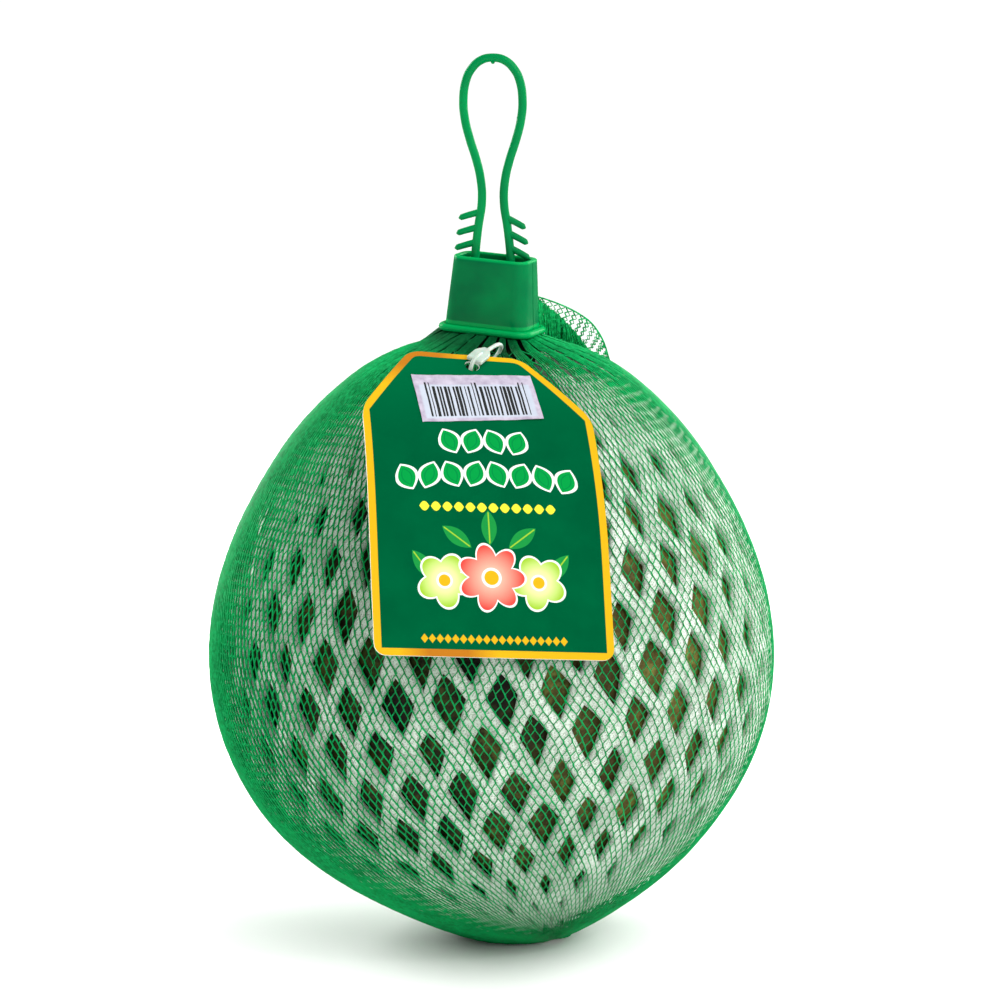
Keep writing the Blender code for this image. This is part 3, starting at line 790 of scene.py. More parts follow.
def makeNeckCore():
    # a dark plug inside the neck, crumpled like gathered net and painted in shadow colours: it stands for the
    # shade seen through the net below the collar
    foot, top = core["foot"], core["top"]
    bpy.ops.mesh.primitive_cylinder_add(
        vertices=core["sides"], radius=1, depth=top - foot, location=(0, 0, 0.5 * (top + foot)),
        end_fill_type="TRIFAN",
    )
    piece = newest("neckCore")
    bpy.ops.object.transform_apply()
    slicePiece(piece, np.linspace(*core["slices"])[1:-1], 2)

    def crumple(co):
        turn = math.atan2(co.y, co.x)
        wave = 1 + 0.06 * math.sin(11 * turn + 0.2 * co.z) + 0.04 * math.sin(5 * turn - 0.3 * co.z)
        flat = math.hypot(co.x, co.y) * wave
        width = smoothAt(core["widths"], co.z) * flat
        depth = smoothAt(core["depths"], co.z) * flat
        return Vector((width * math.cos(turn), depth * math.sin(turn), co.z))

    reshape(piece, crumple)
    placeIn(piece, collarFrame @ Matrix.Scale(mm, 4))
    paint = Paint("shadedNet", {"Roughness": 0.9, "Specular IOR Level": 0.05})
    place = paint.objectPlace()
    # painted shadow, mottled between near black and dark green along the creases
    creaseShade = paint.mottle(paint.stretched(place, (1, 1, 0.2)), 700, 3, 0.6, 0.45, 0.75)
    paint.colour(paint.colourMix(creaseShade, core["shadow"], core["green"]))
    paint.bump(creaseShade, 0.4 * mm, 0.8)
    finishPiece(piece, [paint], ["net_bag"], 60)
    stageDone("core of the neck")


# fold of spare net behind the collar
fold = {
    "azimuth": math.radians(35),
    # distance from the axis and height of the free edge, in millimetres
    "edge": (
        (14.0, 174.2), (17.5, 173.0), (22.4, 171.0), (27.7, 168.3), (32.0, 165.4), (36.6, 160.2),
        (39.8, 153.6),
    ),
    "bulge": 3.0 * mm,
    "gap": 1.3 * mm,  # between its two layers, closing towards the edge
    "strands": 30,
    "cells": 6.5,  # ovals from the root to the edge
    "strandSteps": 64,
    "edgeSteps": 60,
    "radius": 0.17 * mm,
    "edgeRadius": 0.24 * mm,
    "webShare": 0.9,  # height of the dense inner web beside the collar, as a share of the fold's
    "webReach": 0.86,  # where it ends, as a share of the fold's length
    "webStrands": 460,
    "seed": 23,
}


def shoulderHeight(radius):
    # height of the bag's face at a distance from the axis, on the upper half
    polar = np.arcsin(np.clip(radius / (88 * mm), 0, 1))
    for _ in range(8):
        reach = smoothValue(wrap["outline"], np.degrees(polar)) * mm
        polar = np.arcsin(np.clip(radius / reach, 0, 1))
    return wrap["centre"] + reach * np.cos(polar)


def foldPoints(s, t, layer):
    # s runs outwards from the collar, t from the root to the free edge, layer is -1 before and 1 behind
    azimuth = fold["azimuth"]
    outward = np.array([math.cos(azimuth), math.sin(azimuth), 0])
    across = np.array([-math.sin(azimuth), math.cos(azimuth), 0])
    first, last = fold["edge"][0][0] * mm, fold["edge"][-1][0] * mm
    radius = first + (last - first) * s
    root = shoulderHeight(radius) - 0.5 * mm
    height = root + (smoothValue(fold["edge"], radius / mm) * mm - root) * t
    parted = np.cos(0.5 * np.pi * np.clip(t, 0, 1)) * (0.4 + 0.6 * np.sin(np.pi * s))
    side = fold["bulge"] * np.sin(np.pi * s) * np.sin(0.5 * np.pi * t) - layer * fold["gap"] * parted
    return outward * radius[..., None] - across * side[..., None] + np.array([0, 0, 1.0]) * height[..., None]


def makeFold():
    rng = np.random.default_rng(fold["seed"])
    lines, steps = [], fold["strandSteps"]
    u = np.linspace(0, 1, steps)
    for k in range(fold["strands"]):
        # neighbours zigzag against each other, so that the holes between them are ovals
        start = (k + 0.5 + 0.06 * rng.standard_normal()) / fold["strands"] * 1.25 - 0.1
        zigzag = np.arcsin(np.sin(2 * np.pi * fold["cells"] * u)) * 2 / np.pi
        s = start + (-1) ** k * 0.5 / fold["strands"] * zigzag + 0.12 * (u - 0.5)
        keep = (s > 0) & (s < 1)
        if keep.sum() > 8:
            t = np.linspace(u[keep].min(), u[keep].max(), steps)
            lines.append(foldPoints(np.interp(t, u, s), t, 0.6 * (-1) ** k))
    webLines = []
    for k in range(fold["webStrands"]):
        # the dense web fans out from the collar's corner down to the shoulder
        start = (k + rng.random()) / fold["webStrands"]
        dense = fold["webShare"] * max(0, 1 - start / fold["webReach"]) ** 0.8
        top = dense * (0.92 + 0.16 * rng.random()) + 0.04
        s = np.clip(start * (1 - 0.2 * u) + 0.02 * rng.standard_normal() * u, 0, 0.97)
        webLines.append(foldPoints(s, u * top, rng.uniform(-0.8, 0.8)))
    edgeSteps = fold["edgeSteps"]
    edge = foldPoints(np.linspace(0, 1, edgeSteps), np.full(edgeSteps, 0.99), 1.0)[None]
    strands = np.array(lines + webLines)
    face = np.array([math.sin(fold["azimuth"]), -math.cos(fold["azimuth"]), 0])
    radius = np.full(strands.shape[:2], fold["radius"])
    radius = radius * (1 + 0.15 * rng.standard_normal((len(strands), 1)))
    body = tubes("foldStrands", strands, np.broadcast_to(face, strands.shape), radius, 4)
    edgeRadius = np.full(edge.shape[:2], fold["edgeRadius"])
    rim = tubes("foldRim", edge, np.broadcast_to(face, edge.shape), edgeRadius, 6)
    piece = joined("netFold", [body, rim])
    finishPiece(piece, [netPaint("foldPlastic", 0.9)], ["net_bag"], 180)
    stageDone("fold of the net")


# gathered foot of the net
knot = {
    "radius": 4.6 * mm,
    "height": 1.2 * mm,
    "lift": 0.12 * mm,  # off the floor
    "pleats": 22,
    "ridge": 0.16,
}


def makeKnot():
    # the welded end of the bag: a flat puckered button under the foot
    under = directions(np.array([0.0]), np.array([math.radians(179.9)]), wrap["lean"], 0.4 * net["nod"])
    centre = bodyPoints(under, 0)[0]
    bpy.ops.mesh.primitive_cylinder_add(
        vertices=4 * knot["pleats"], radius=knot["radius"], depth=knot["height"],
        location=(centre[0], centre[1], 0.5 * knot["height"]), end_fill_type="TRIFAN",
    )
    piece = newest("netKnot")
    bpy.ops.object.transform_apply()
    editMode()
    selectMesh()
    bpy.ops.mesh.subdivide(number_cuts=2)
    objectMode()

    def pucker(co):
        x, y = co.x - centre[0], co.y - centre[1]
        reach = math.hypot(x, y) / knot["radius"]
        wave = math.cos(knot["pleats"] * math.atan2(y, x)) * reach
        high = knot["lift"] + co.z * (1 - 0.45 * reach**2) * (1 + knot["ridge"] * wave)
        return Vector((centre[0] + x * (1 + 0.05 * wave), centre[1] + y * (1 + 0.05 * wave), high))

    reshape(piece, pucker)
    finishPiece(piece, [netPaint("knotPlastic", 0.6)], ["net_bag"], 50)
    stageDone("foot of the net")


# collar
def mouldedPaint(name, part):
    paint = Paint(name, {"Specular IOR Level": 0.0, "Coat Weight": 0.12, "Coat Roughness": 0.12})
    place = paint.objectPlace()
    cloud = paint.mottle(place, 70, 3, 0.5, 0.35, 0.7)
    scuff = paint.mottle(paint.stretched(place, (1, 1, 0.15)), 900, 3, 0.6, 0.55, 0.75)
    light = cloud * 0.6
    if part["highlightRims"]:
        low, high = part["highlightRims"]
        # painted highlight: the bead at the foot and the top rim are painted a lighter green, as if lit from
        # above
        level = collarLevel(paint, place)
        edge = paint.highest(paint.above(level * -1, -low, 0.4 * mm), paint.above(level, high, 0.5 * mm))
        light = paint.highest(light * 0.7, edge)
    paint.colour(paint.colourMix(light, part["green"], part["lightGreen"]))
    paint.rough(scuff * 0.14 + part["roughness"] + cloud * 0.05)
    grain = paint.noise(place, 1600, 2, 0.5)
    paint.bump(grain * 0.4 + cloud * 0.6, 0.08 * mm, 0.5)
    return paint


def roundUprights(piece, height):
    pickEdges(piece, lambda a, b: abs(a.z - b.z) > 0.5 * height)
    bpy.ops.mesh.bevel(offset=collar["corner"], segments=7, affect="EDGES")


def makeCollar():
    # a tapered box with rounded corners, opened at both ends, given a wall, a soft lip and a bead
    # round its foot
    half = Vector(collar["footHalf"])
    height = collar["height"]
    shell = boxPiece("collarShell", (2 * half.x, 2 * half.y, height), (0, 0, 0.5 * height))
    editMode()
    pickVerts(shell, lambda co: co.z > 0.9 * height)
    top = collar["topHalf"]
    bpy.ops.transform.resize(value=(top[0] / half.x, top[1] / half.y, 1))
    roundUprights(shell, height)
    pickFaces(shell, lambda face: abs(face.normal.z) > 0.9)
    bpy.ops.mesh.delete(type="FACE")
    for level in (0.3, 0.6, 0.9):
        cutAt((0, 0, level * height), (0, 0, 1))
    selectMesh()
    bpy.ops.mesh.normals_make_consistent(inside=False)
    objectMode()

    def soften(co):
        # the long sides bow outwards a little, as the real moulding's do
        level = co.z / height
        bow = collar["bow"] * math.sin(math.pi * level) * (1 - abs(co.x) / half.x)
        return Vector((co.x, co.y + math.copysign(bow, co.y), co.z))

    reshape(shell, soften)
    thicken(shell, collar["wall"], -1)
    lip = shell.modifiers.new("lip", "BEVEL")
    lip.width = collar["lip"]
    lip.segments = 3
    lip.limit_method = "ANGLE"
    lip.angle_limit = math.radians(50)
    applyModifiers(shell)
    # the bead follows the rim of a thin plate
    flange = collar["flange"]
    bead = boxPiece("collarBead", (2 * (half.x + flange), 2 * (half.y + flange), mm))
    editMode()
    roundUprights(bead, mm)
    pickFaces(bead, lambda face: face.normal.z > -0.9)
    bpy.ops.mesh.delete(type="FACE")
    selectMesh()
    bpy.ops.mesh.delete(type="ONLY_FACE")
    objectMode()
    bpy.ops.object.convert(target="CURVE")
    bead = newest("collarBead")
    bead.data.bevel_depth = collar["bead"]
    bead.data.bevel_resolution = 4
    bpy.ops.object.convert(target="MESH")
    bead = newest("collarBead")
    placeIn(bead, Matrix.Translation((0, 0, collar["bead"] - collar["beadDrop"])))
    parts = [shell, bead]
    depth, width, share = collar["rib"]
    slope = (half.x - top[0]) / height
    for side in (-1, 1):
        # the mould's parting line, a fine rib down each narrow end
        middle = (side * (half.x - 0.5 * slope * height), 0, 0.5 * height)
        turn = (0, -side * math.atan(slope), 0)
        parts.append(boxPiece("partingLine", (depth, width, share * height), middle, turn))
    piece = joined("collarBody", parts)
    placeIn(piece, collarFrame)
    finishPiece(piece, [mouldedPaint("collarPlastic", collar)], ["collar"], 45)
    stageDone("collar")


# carrying loop
loop = {
    # half width and height of the rod's middle line, in millimetres
    "line": (
        (5.05, 177.8), (4.9, 185.5), (4.1, 193.0), (3.05, 200.2), (3.4, 206.0), (4.6, 211.1),
        (6.35, 216.4), (7.75, 221.8), (8.2, 227.1), (7.4, 232.4), (6.05, 235.1), (3.3, 237.6), (0.0, 238.3),
    ),
    "yaw": math.radians(-16),
    "shift": 0.3 * mm,  # towards +X
    "radius": 1.15 * mm,
    "barbRadius": 0.86 * mm,
    "barbs": ((197.0, 6.3), (192.9, 6.3), (188.9, 6.3), (184.4, 4.2)),  # height and length
    # side, droop and how far they sit above their heights
    "barbSides": ((-1, math.radians(13), 0.2 * mm), (1, math.radians(23), -1.1 * mm)),
    # place and radius of the gate mark inside the top, and of a nick on the right leg
    "marks": (((0, 0, 237.15 * mm), 0.55 * mm), ((7.1 * mm, -0.4 * mm, 222.5 * mm), 0.4 * mm)),
    "highlightRims": (),  # it gets no painted highlight on its rims
    "roughness": 0.36,
    "green": "#007a40",
    "lightGreen": "#009a50",
}


def rodPiece(name, points, radius, cyclic=False):
    # a round rod along a smooth curve through the points, closed at its ends
    curve = bpy.data.curves.new(name, "CURVE")
    curve.dimensions = "3D"
    curve.bevel_depth = radius
    curve.bevel_resolution = 5
    curve.resolution_u = 5
    curve.use_fill_caps = True
    spline = curve.splines.new("BEZIER")
    spline.bezier_points.add(len(points) - 1)
    for knotPoint, place in zip(spline.bezier_points, points):
        knotPoint.co = place
        knotPoint.handle_left_type = knotPoint.handle_right_type = "AUTO"
    spline.use_cyclic_u = cyclic
    rod = bpy.data.objects.new(name, curve)
    bpy.context.scene.collection.objects.link(rod)
    makeActive(rod)
    bpy.ops.object.convert(target="MESH")
    return newest(name)


def makeBarb():
    # a bar along +X, one metre long, which barbPoint brings to size
    bpy.ops.mesh.primitive_cylinder_add(
        vertices=14, radius=loop["barbRadius"], depth=1, location=(0.5, 0, 0), rotation=(0, math.pi / 2, 0),
    )
    barb = newest("barb")
    bpy.ops.object.transform_apply()
    slicePiece(barb, (0.2, 0.4, 0.6, 0.8, 0.9), 0)
    return barb


def barbPoint(co, length):
    # tapers the bar, rounds its tip and bends it down
    tip = max(0, (co.x - 0.86) / 0.14)
    thin = (1.1 - 0.14 * co.x) * math.sqrt(max(0.06, 1 - tip**2))
    return Vector((co.x * length * mm, co.y * thin, co.z * thin - 0.35 * mm * co.x**2))


def makeLoop():
    line = loop["line"]
    left = [Vector((-x, 0, z)) * mm for x, z in line]
    right = [Vector((x, 0, z)) * mm for x, z in reversed(line[:-1])]
    parts = [rodPiece("rod", left + right, loop["radius"])]
    heights = [(z, x) for x, z in line]
    barb = makeBarb()
    for side, angle, shift in loop["barbSides"]:
        for height, length in loop["barbs"]:
            copy = barb.copy()
            copy.data = barb.data.copy()
            bpy.context.scene.collection.objects.link(copy)
            reshape(copy, lambda co: barbPoint(co, length))
            width = smoothAt(heights, height)
            turn = Matrix.Rotation(angle, 4, "Y")
            flip = Matrix.Rotation(math.pi, 4, "Z") if side < 0 else Matrix.Identity(4)
            placeIn(copy, Matrix.Translation((side * width * mm, 0, height * mm + shift)) @ flip @ turn)
            parts.append(copy)
    bpy.data.objects.remove(barb, do_unlink=True)
    for place, radius in loop["marks"]:
        bpy.ops.mesh.primitive_uv_sphere_add(segments=12, ring_count=8, radius=radius, location=place)
        bpy.ops.object.transform_apply()
        parts.append(newest("mark"))
    piece = joined("loopRod", parts)
    placeIn(piece, Matrix.Translation((loop["shift"], 0, 0)) @ Matrix.Rotation(loop["yaw"], 4, "Z"))
    finishPiece(piece, [mouldedPaint("loopPlastic", loop)], ["handle_loop"], 50)
    stageDone("carrying loop")


# hang tag, with its lengths in millimetres
tag = {
    "yaw": math.radians(14),
    "foot": (79.3, 88.5),  # distance before the axis, and height, where the bend is laid out
    # the card is straight up to the first of these, and bends back to its second lean at the other
    "straight": 30,
    "bendEnd": 90,
    "lean": (math.radians(21), math.radians(61.5)),
    "bendSteps": 40,
    "ripple": 0.25,
    "taper": 0.02,  # by which the bent part looks narrower
    "twist": math.radians(9),  # by which the card leans less at its left edge
    "origin": (-18.6, 2.3),  # place of the middle of the card's foot on the laid-out bend
    "roll": math.radians(3.9),
    "skew": 0.028,
    "halfWidth": 31,
    "side": 66.0,
    "height": 87.6,
    "topHalf": 15.0,
    "corner": 3.0,
    "thickness": 0.6,
    "hole": (1.3, 83.2),
    "holeRadius": 2.0,
    "border": 1.9,
    "green": "#00512f",
    # lighter green, for the print's random tone and for painted light on the bent top
    "toneAndLitGreen": "#005f37",
    "leafGreen": "#08913f",
    "lineGreen": "#067a3c",
    "twigGreen": "#1c8a3e",
    "gold": "#d8a81c",
    "shadedGold": "#b4701e",
    "lime": "#97c034",
    "cream": "#e7f0a8",
    "coral": "#d5483f",
    "blush": "#eeae98",
    "yellow": "#e9e23c",
    "white": "#eef2ec",
}
cutNormal = Vector((tag["height"] - tag["side"], tag["halfWidth"] - tag["topHalf"])).normalized()


# the card's printed motifs, in millimetres on the flat card
motifs = {
    "titleRows": (((0.6, 57.2), 4, 0.4), ((0.4, 46.2), 8, 2.0)),  # middle, count of leaves, and arch
    "titlePitch": 6.0,
    "titleLeaf": (3.7, 2.5),  # half length and half width
    "titleTilt": 0.42,
    "titleOutline": 0.85,
    "titleLine": (1.2, 0.12),  # depth of the fine line inside a leaf's rim, and half its width
    "grainRow": (18, 3.0, 38.9),  # half width, pitch and height
    "grain": (1.3, 1.25),
    # place and turn of the leaves round the flowers
    "leaves": ((-8.5, 31.0, 2.5), (8.5, 31.0, 0.64), (-17.5, 23.5, 2.2), (17.5, 23.5, 0.9), (0, 33.6, 1.57)),
    "leaf": (4.6, 2.0),
    "leafVein": 0.16,
    # middle, radius, petals, turn, and the colours of the petals' rims and hearts
    "flowers": (
        ((-12.2, 19.6), 7.0, 5, 0.4, "lime", "cream"), ((12.2, 19.6), 7.0, 5, 1.2, "lime", "cream"),
        ((0.0, 20.6), 8.6, 7, 0.0, "coral", "blush"),
    ),
    "flowerOutline": 0.55,
    "heart": (0.3, 0.22),  # a heart's white ring and golden middle, as shares of the flower's radius
    "lozengeRow": (19, 2.0, 4.6),
    "lozenge": 0.95,
    "softEdge": 0.14,
}


def tagPoint(x, y, lift):
    # a point of the bent card, from its place on the flat card and its lift off the card's back, in
    # millimetres
    x = x * (1 - tag["taper"] * smoothRise(y, 20, 70))
    side = tag["origin"][0] + x * math.cos(tag["roll"]) + y * (math.sin(tag["roll"]) - tag["skew"])
    along = tag["origin"][1] - x * math.sin(tag["roll"]) + y * math.cos(tag["roll"])
    twist = tag["twist"] * (0.5 - 0.5 * x / tag["halfWidth"]) ** 2

    def leanAt(way):
        share = min(max((way - tag["straight"]) / (tag["bendEnd"] - tag["straight"]), 0), 1.2)
        return tag["lean"][0] + (tag["lean"][1] - tag["lean"][0]) * share - twist * min(1, 2 * share)

    before, height = tag["foot"]
    steps = tag["bendSteps"]
    for step in range(steps):
        lean = leanAt(along * (step + 0.5) / steps)
        before -= math.sin(lean) * along / steps
        height += math.cos(lean) * along / steps
    lean = leanAt(along)
    before += math.cos(lean) * lift
    height += math.sin(lean) * lift
    across = Vector((math.cos(tag["yaw"]), math.sin(tag["yaw"]), 0))
    forward = Vector((math.sin(tag["yaw"]), -math.cos(tag["yaw"]), 0))
    return (across * side + forward * before + Vector((0, 0, height))) * mm


def rippledPoint(x, y, lift):
    return tagPoint(x, y, lift + tag["ripple"] * math.sin(x / 9 + 1) * smoothRise(y, 40, 89))


# a field is above 0 inside its motif, and about as many millimetres as the rim is away
def leafField(x, y, size):
    # a pointed leaf that lies along x
    share = x / size[0]
    return (1 - share * share) * size[1] - abs(y)


def turned(x, y, angle):
    return x * math.cos(angle) + y * math.sin(angle), y * math.cos(angle) - x * math.sin(angle)


def inRow(paint, x, half, pitch):
    # the number of a motif in its row, the way from its middle, and a large loss off the row's ends
    along = (x + half) / pitch
    index = paint.maths("FLOOR", along)
    return index, (along - index - 0.5) * pitch, (1 - paint.above(half - abs(x), 0.0, 0.01)) * 20


def leafRow(paint, x, y, centre, count, arch):
    # a row of upright leaves that lean to either side by turns
    half = 0.5 * motifs["titlePitch"] * count
    x = x - centre[0]
    index, px, loss = inRow(paint, x, half, motifs["titlePitch"])
    left = (paint.maths("MODULO", index, 2.0) * 2 - 1) * motifs["titleTilt"]
    share = x / half
    py = y - centre[1] - (1 - share * share) * arch
    return leafField(py + px * left, px - py * left, motifs["titleLeaf"]) - loss


def flowerField(paint, x, y, centre, radius, petals, turn):
    # the flower's field, and the way from its middle
    px, py = x - centre[0], y - centre[1]
    distance = paint.maths("SQRT", px * px + py * py)
    angle = paint.maths("ARCTAN2", py, px)
    wave = abs(paint.maths("COSINE", angle * (0.5 * petals) + turn))
    return (wave * 0.34 + 0.66) * radius - distance, distance


def cardPaint():
    paint = Paint("printedCard", {"Specular IOR Level": 0.0})
    x, y = paint.flatAxes()
    place = paint.together(x, y)
    cloud = paint.mottle(place, 0.09, 3, 0.5, 0.35, 0.68)
    fibre = paint.noise(place, 6, 3, 0.6)
    # painted light: the top of the card, where it bends back, is painted a lighter green; the cloud varies
    # the print's tone at random
    paintedLightTop = paint.spread(y, 55, 80)
    base = paint.colourMix(paint.highest(cloud * 0.5, paintedLightTop), tag["green"], tag["toneAndLitGreen"])

    def put(field, edge, colour):
        nonlocal base
        base = paint.colourMix(paint.above(field, edge, motifs["softEdge"]), base, colour)

    # the title's place: two rows of leaves with a white outline and a fine inner line
    depth, half = motifs["titleLine"]
    for centre, count, arch in motifs["titleRows"]:
        field = leafRow(paint, x, y, centre, count, arch)
        put(field, -motifs["titleOutline"], tag["white"])
        put(field, 0.0, tag["leafGreen"])
        put(abs(field - depth) * -1, -half, tag["lineGreen"])
    # below it a row of yellow grains
    half, pitch, level = motifs["grainRow"]
    _, px, loss = inRow(paint, x, half, pitch)
    put(leafField(px, y - level, motifs["grain"]) - loss, 0.0, tag["yellow"])
    # flowers among leaves
    for cx, cy, angle in motifs["leaves"]:
        px, py = turned(x - cx, y - cy, angle)
        leaf = leafField(px, py, motifs["leaf"])
        put(leaf, 0.0, tag["twigGreen"])
        put(abs(py) * -1 + paint.above(leaf, 0.3, 0.1) - 1, -motifs["leafVein"], tag["lime"])
    ring, middle = motifs["heart"]
    for centre, radius, petals, turn, outer, inner in motifs["flowers"]:
        rim, distance = flowerField(paint, x, y, centre, radius, petals, turn)
        outwards = paint.spread(distance, 0.25 * radius, 0.95 * radius)
        put(rim, -motifs["flowerOutline"], tag["white"])
        put(rim, 0.0, paint.colourMix(outwards, tag[inner], tag[outer]))
        put(distance * -1, -ring * radius, tag["white"])
        put(distance * -1, -middle * radius, tag["gold"])
    # small gold lozenges along the foot
    half, pitch, level = motifs["lozengeRow"]
    _, px, loss = inRow(paint, x, half, pitch)
    put(motifs["lozenge"] - abs(px) - abs(y - level) * 0.8 - loss, 0.0, tag["gold"])
    # gold border, with painted shade at the top left and along the left of the foot
    slant = (tag["halfWidth"] - abs(x)) * cutNormal.x + (tag["side"] - y) * cutNormal.y
    ends = paint.lowest(y, tag["height"] - y)
    edge = paint.node("ShaderNodeMath", {"operation": "SMOOTH_MIN"}, {0: slant, 1: ends, 2: 2.0})
    edge = paint.lowest(edge, tag["halfWidth"] - abs(x))
    goldShade = paint.highest(paint.above(y, 78, 8) * paint.above(x * -1, 3, 9),
                         paint.above(y * -1, -2.5, 1) * paint.above(abs(x + 12) * -1, -9, 8))
    gold = paint.colourMix(goldShade, tag["gold"], tag["shadedGold"])
    put(edge * -1, -tag["border"], gold)
    paint.colour(base)
    paint.rough(0.36 + fibre * 0.12)
    paint.bump(cloud + fibre * 0.06, 0.3 * mm, 0.35)
    return paint


def plainCardPaint(name, colour):
    paint = Paint(name, {"Specular IOR Level": 0.25})
    x, y = paint.flatAxes()
    fibre = paint.noise(paint.together(x, y), 5, 4, 0.6)
    paint.colour(paint.colourMix(paint.spread(fibre, 0.3, 0.75) * 0.4, colour, "#8fae98"))
    paint.rough(0.5 + fibre * 0.15)
    paint.bump(fibre, 0.05 * mm, 0.5)
    return paint


def flatUvs(piece):
    layer = piece.data.uv_layers[0] if piece.data.uv_layers else piece.data.uv_layers.new()
    layer.name = "flat"
    for loopItem in piece.data.loops:
        co = piece.data.vertices[loopItem.vertex_index].co
        layer.data[loopItem.index].uv = (co.x / flatSpan + 0.5, co.y / flatSpan)


def cardSides(piece):
    # for each face of a card that still lies flat: 0 on its front, 1 on its back, 2 on its cut edge
    return [0 if face.normal.z > 0.5 else 1 if face.normal.z < -0.5 else 2 for face in piece.data.polygons]


def makeTag():
    half, height = tag["halfWidth"], tag["height"]
    bpy.ops.mesh.primitive_plane_add(size=1, location=(0, 0.5 * height, 0))
    piece = newest("hangTagCard")
    piece.scale = (2 * half, height, 1)
    bpy.ops.object.transform_apply()
    editMode()
    for side in (-1, 1):
        cutAt((side * half, tag["side"], 0), (side * cutNormal.x, cutNormal.y, 0), clear_outer=True)
    selectMesh()
    bpy.ops.mesh.bevel(offset=tag["corner"], segments=5, affect="VERTICES")
    objectMode()
    thicken(piece, tag["thickness"], 1)
    applyModifiers(piece)
    place = (*tag["hole"], 0)
    bpy.ops.mesh.primitive_cylinder_add(vertices=32, radius=tag["holeRadius"], depth=4, location=place)
    punch = newest("punch")
    makeActive(piece)
    hole = piece.modifiers.new("hole", "BOOLEAN")
    hole.object = punch
    hole.operation = "DIFFERENCE"
    applyModifiers(piece)
    bpy.data.objects.remove(punch, do_unlink=True)
    slicePiece(piece, np.linspace(0, height, 26)[1:-1], 1)
    slicePiece(piece, np.linspace(-half, half, 9)[1:-1], 0)
    flatUvs(piece)
    paints = [cardPaint(), plainCardPaint("cardBack", "#0a7a48"), plainCardPaint("cardEdge", "#e8ece4")]
    sides = cardSides(piece)
    reshape(piece, lambda co: rippledPoint(co.x, co.y, co.z))
    finishPiece(piece, paints, ["hang_tag"], 40)
    for face, side in zip(piece.data.polygons, sides):
        face.material_index = side
    stageDone("hang tag")


# sticker on the tag, in millimetres on the flat card
sticker = {
    "centre": (0.8, 71.6),
    "size": (33, 15.4),
    "turn": math.radians(4.5),
    "thickness": 0.14,
    "lift": 0.66,
    "barWidth": 0.27,
    "bars": ((-14.2, 14.2), (-6.2, 3.6)),  # across and up
    # the longer bars: how far out the side groups are, half widths of the side and middle groups, and
    # how much longer
    "guards": (13.0, 0.9, 0.8, 1.4),
    "film": "#a49aae",
    "paleFilm": "#c6bfce",
    "label": "#bcc6d3",
    "ink": "#0e100f",
}


def boxField(paint, x, y, across, up, soft):
    # 1 within the box and 0 outside it
    (left, right), (low, high) = across, up
    sides = paint.above(x, left, soft[0]) * paint.above(right - x, 0, soft[0])
    return sides * paint.above(y, low, soft[1]) * paint.above(high - y, 0, soft[1])


def stickerPaint():
    paint = Paint("stickerFilm", {"Specular IOR Level": 0.2})
    x, y = paint.flatAxes()
    place = paint.together(x, y)
    foil = paint.mottle(place, 0.35, 4, 0.6, 0.35, 0.7)
    base = paint.colourMix(foil, sticker["film"], sticker["paleFilm"])
    (left, right), (low, high) = sticker["bars"]
    along = paint.maths("FLOOR", (x - left) / sticker["barWidth"])
    place, sideHalf, midHalf, rise = sticker["guards"]
    short = paint.above(abs(abs(x) - place), sideHalf, 0.05) * paint.above(abs(x), midHalf, 0.05)
    within = boxField(paint, x, y, (left, right), (low, high + (1 - short) * rise), (0.1, 0.15))
    ground = boxField(paint, x, y, (left - 1, right + 1), (low - 0.6, high + 0.6), (0.5, 0.4))
    base = paint.colourMix(ground * 0.8, base, sticker["label"])
    chance = paint.node("ShaderNodeTexWhiteNoise", {"noise_dimensions": "1D"}, {"W": along + 7.5})
    # every fourth module stays blank and the one midway between is always inked, so no bar is wider
    # than three
    phase = paint.maths("MODULO", along, 4.0)
    chance = chance + paint.above(abs(phase - 2) * -1, -0.5, 0.01) - paint.above(phase * -1, -0.5, 0.01)
    ink = paint.above(chance, 0.5, 0.02) * within
    paint.colour(paint.colourMix(ink, base, sticker["ink"]))
    paint.rough(0.3 + foil * 0.2)
    paint.bump(foil, 0.2 * mm, 0.3)
    return paint


def makeSticker():
    width, height = sticker["size"]
    bpy.ops.mesh.primitive_grid_add(x_subdivisions=22, y_subdivisions=12, size=1)
    piece = newest("stickerLabel")
    piece.scale = (width, height, 1)
    bpy.ops.object.transform_apply()
    thicken(piece, sticker["thickness"], 1)
    applyModifiers(piece)
    flatUvs(piece)
    turn = sticker["turn"]

    def bend(co):
        x = sticker["centre"][0] + co.x * math.cos(turn) - co.y * math.sin(turn)
        y = sticker["centre"][1] + co.x * math.sin(turn) + co.y * math.cos(turn)
        peel = max(0, (co.x / (0.5 * width) - co.y / (0.5 * height)) - 1.3)
        wrinkle = 0.06 * math.sin(co.x * 0.7 + co.y * 0.9) + 0.04 * math.sin(co.x * 1.7 - co.y)
        return rippledPoint(x, y, sticker["lift"] + co.z + wrinkle + 0.9 * peel**2)

    reshape(piece, bend)
    finishPiece(piece, [stickerPaint()], ["tag_sticker"], 40)
    stageDone("sticker")


# pin that fastens the tag
pin = {
    "radius": 0.55 * mm,
    # in millimetres
    "paddle": (7.4, 4.4, 1.2),
    "paddleBevel": 0.35,
    "back": 1.6,  # how far the ring passes behind the card
    "over": (4.4, 0.9, 1.6),  # where the ring crosses the top edge: aside, above and before
    "far": ((2.4, -24.4, 164.0), (1.8, -21.4, 161.6), (-0.4, -25.5, 160.0)),  # the ring's way through the net
    "milk": "#bccabf",
    "shade": "#a9bcae",
}


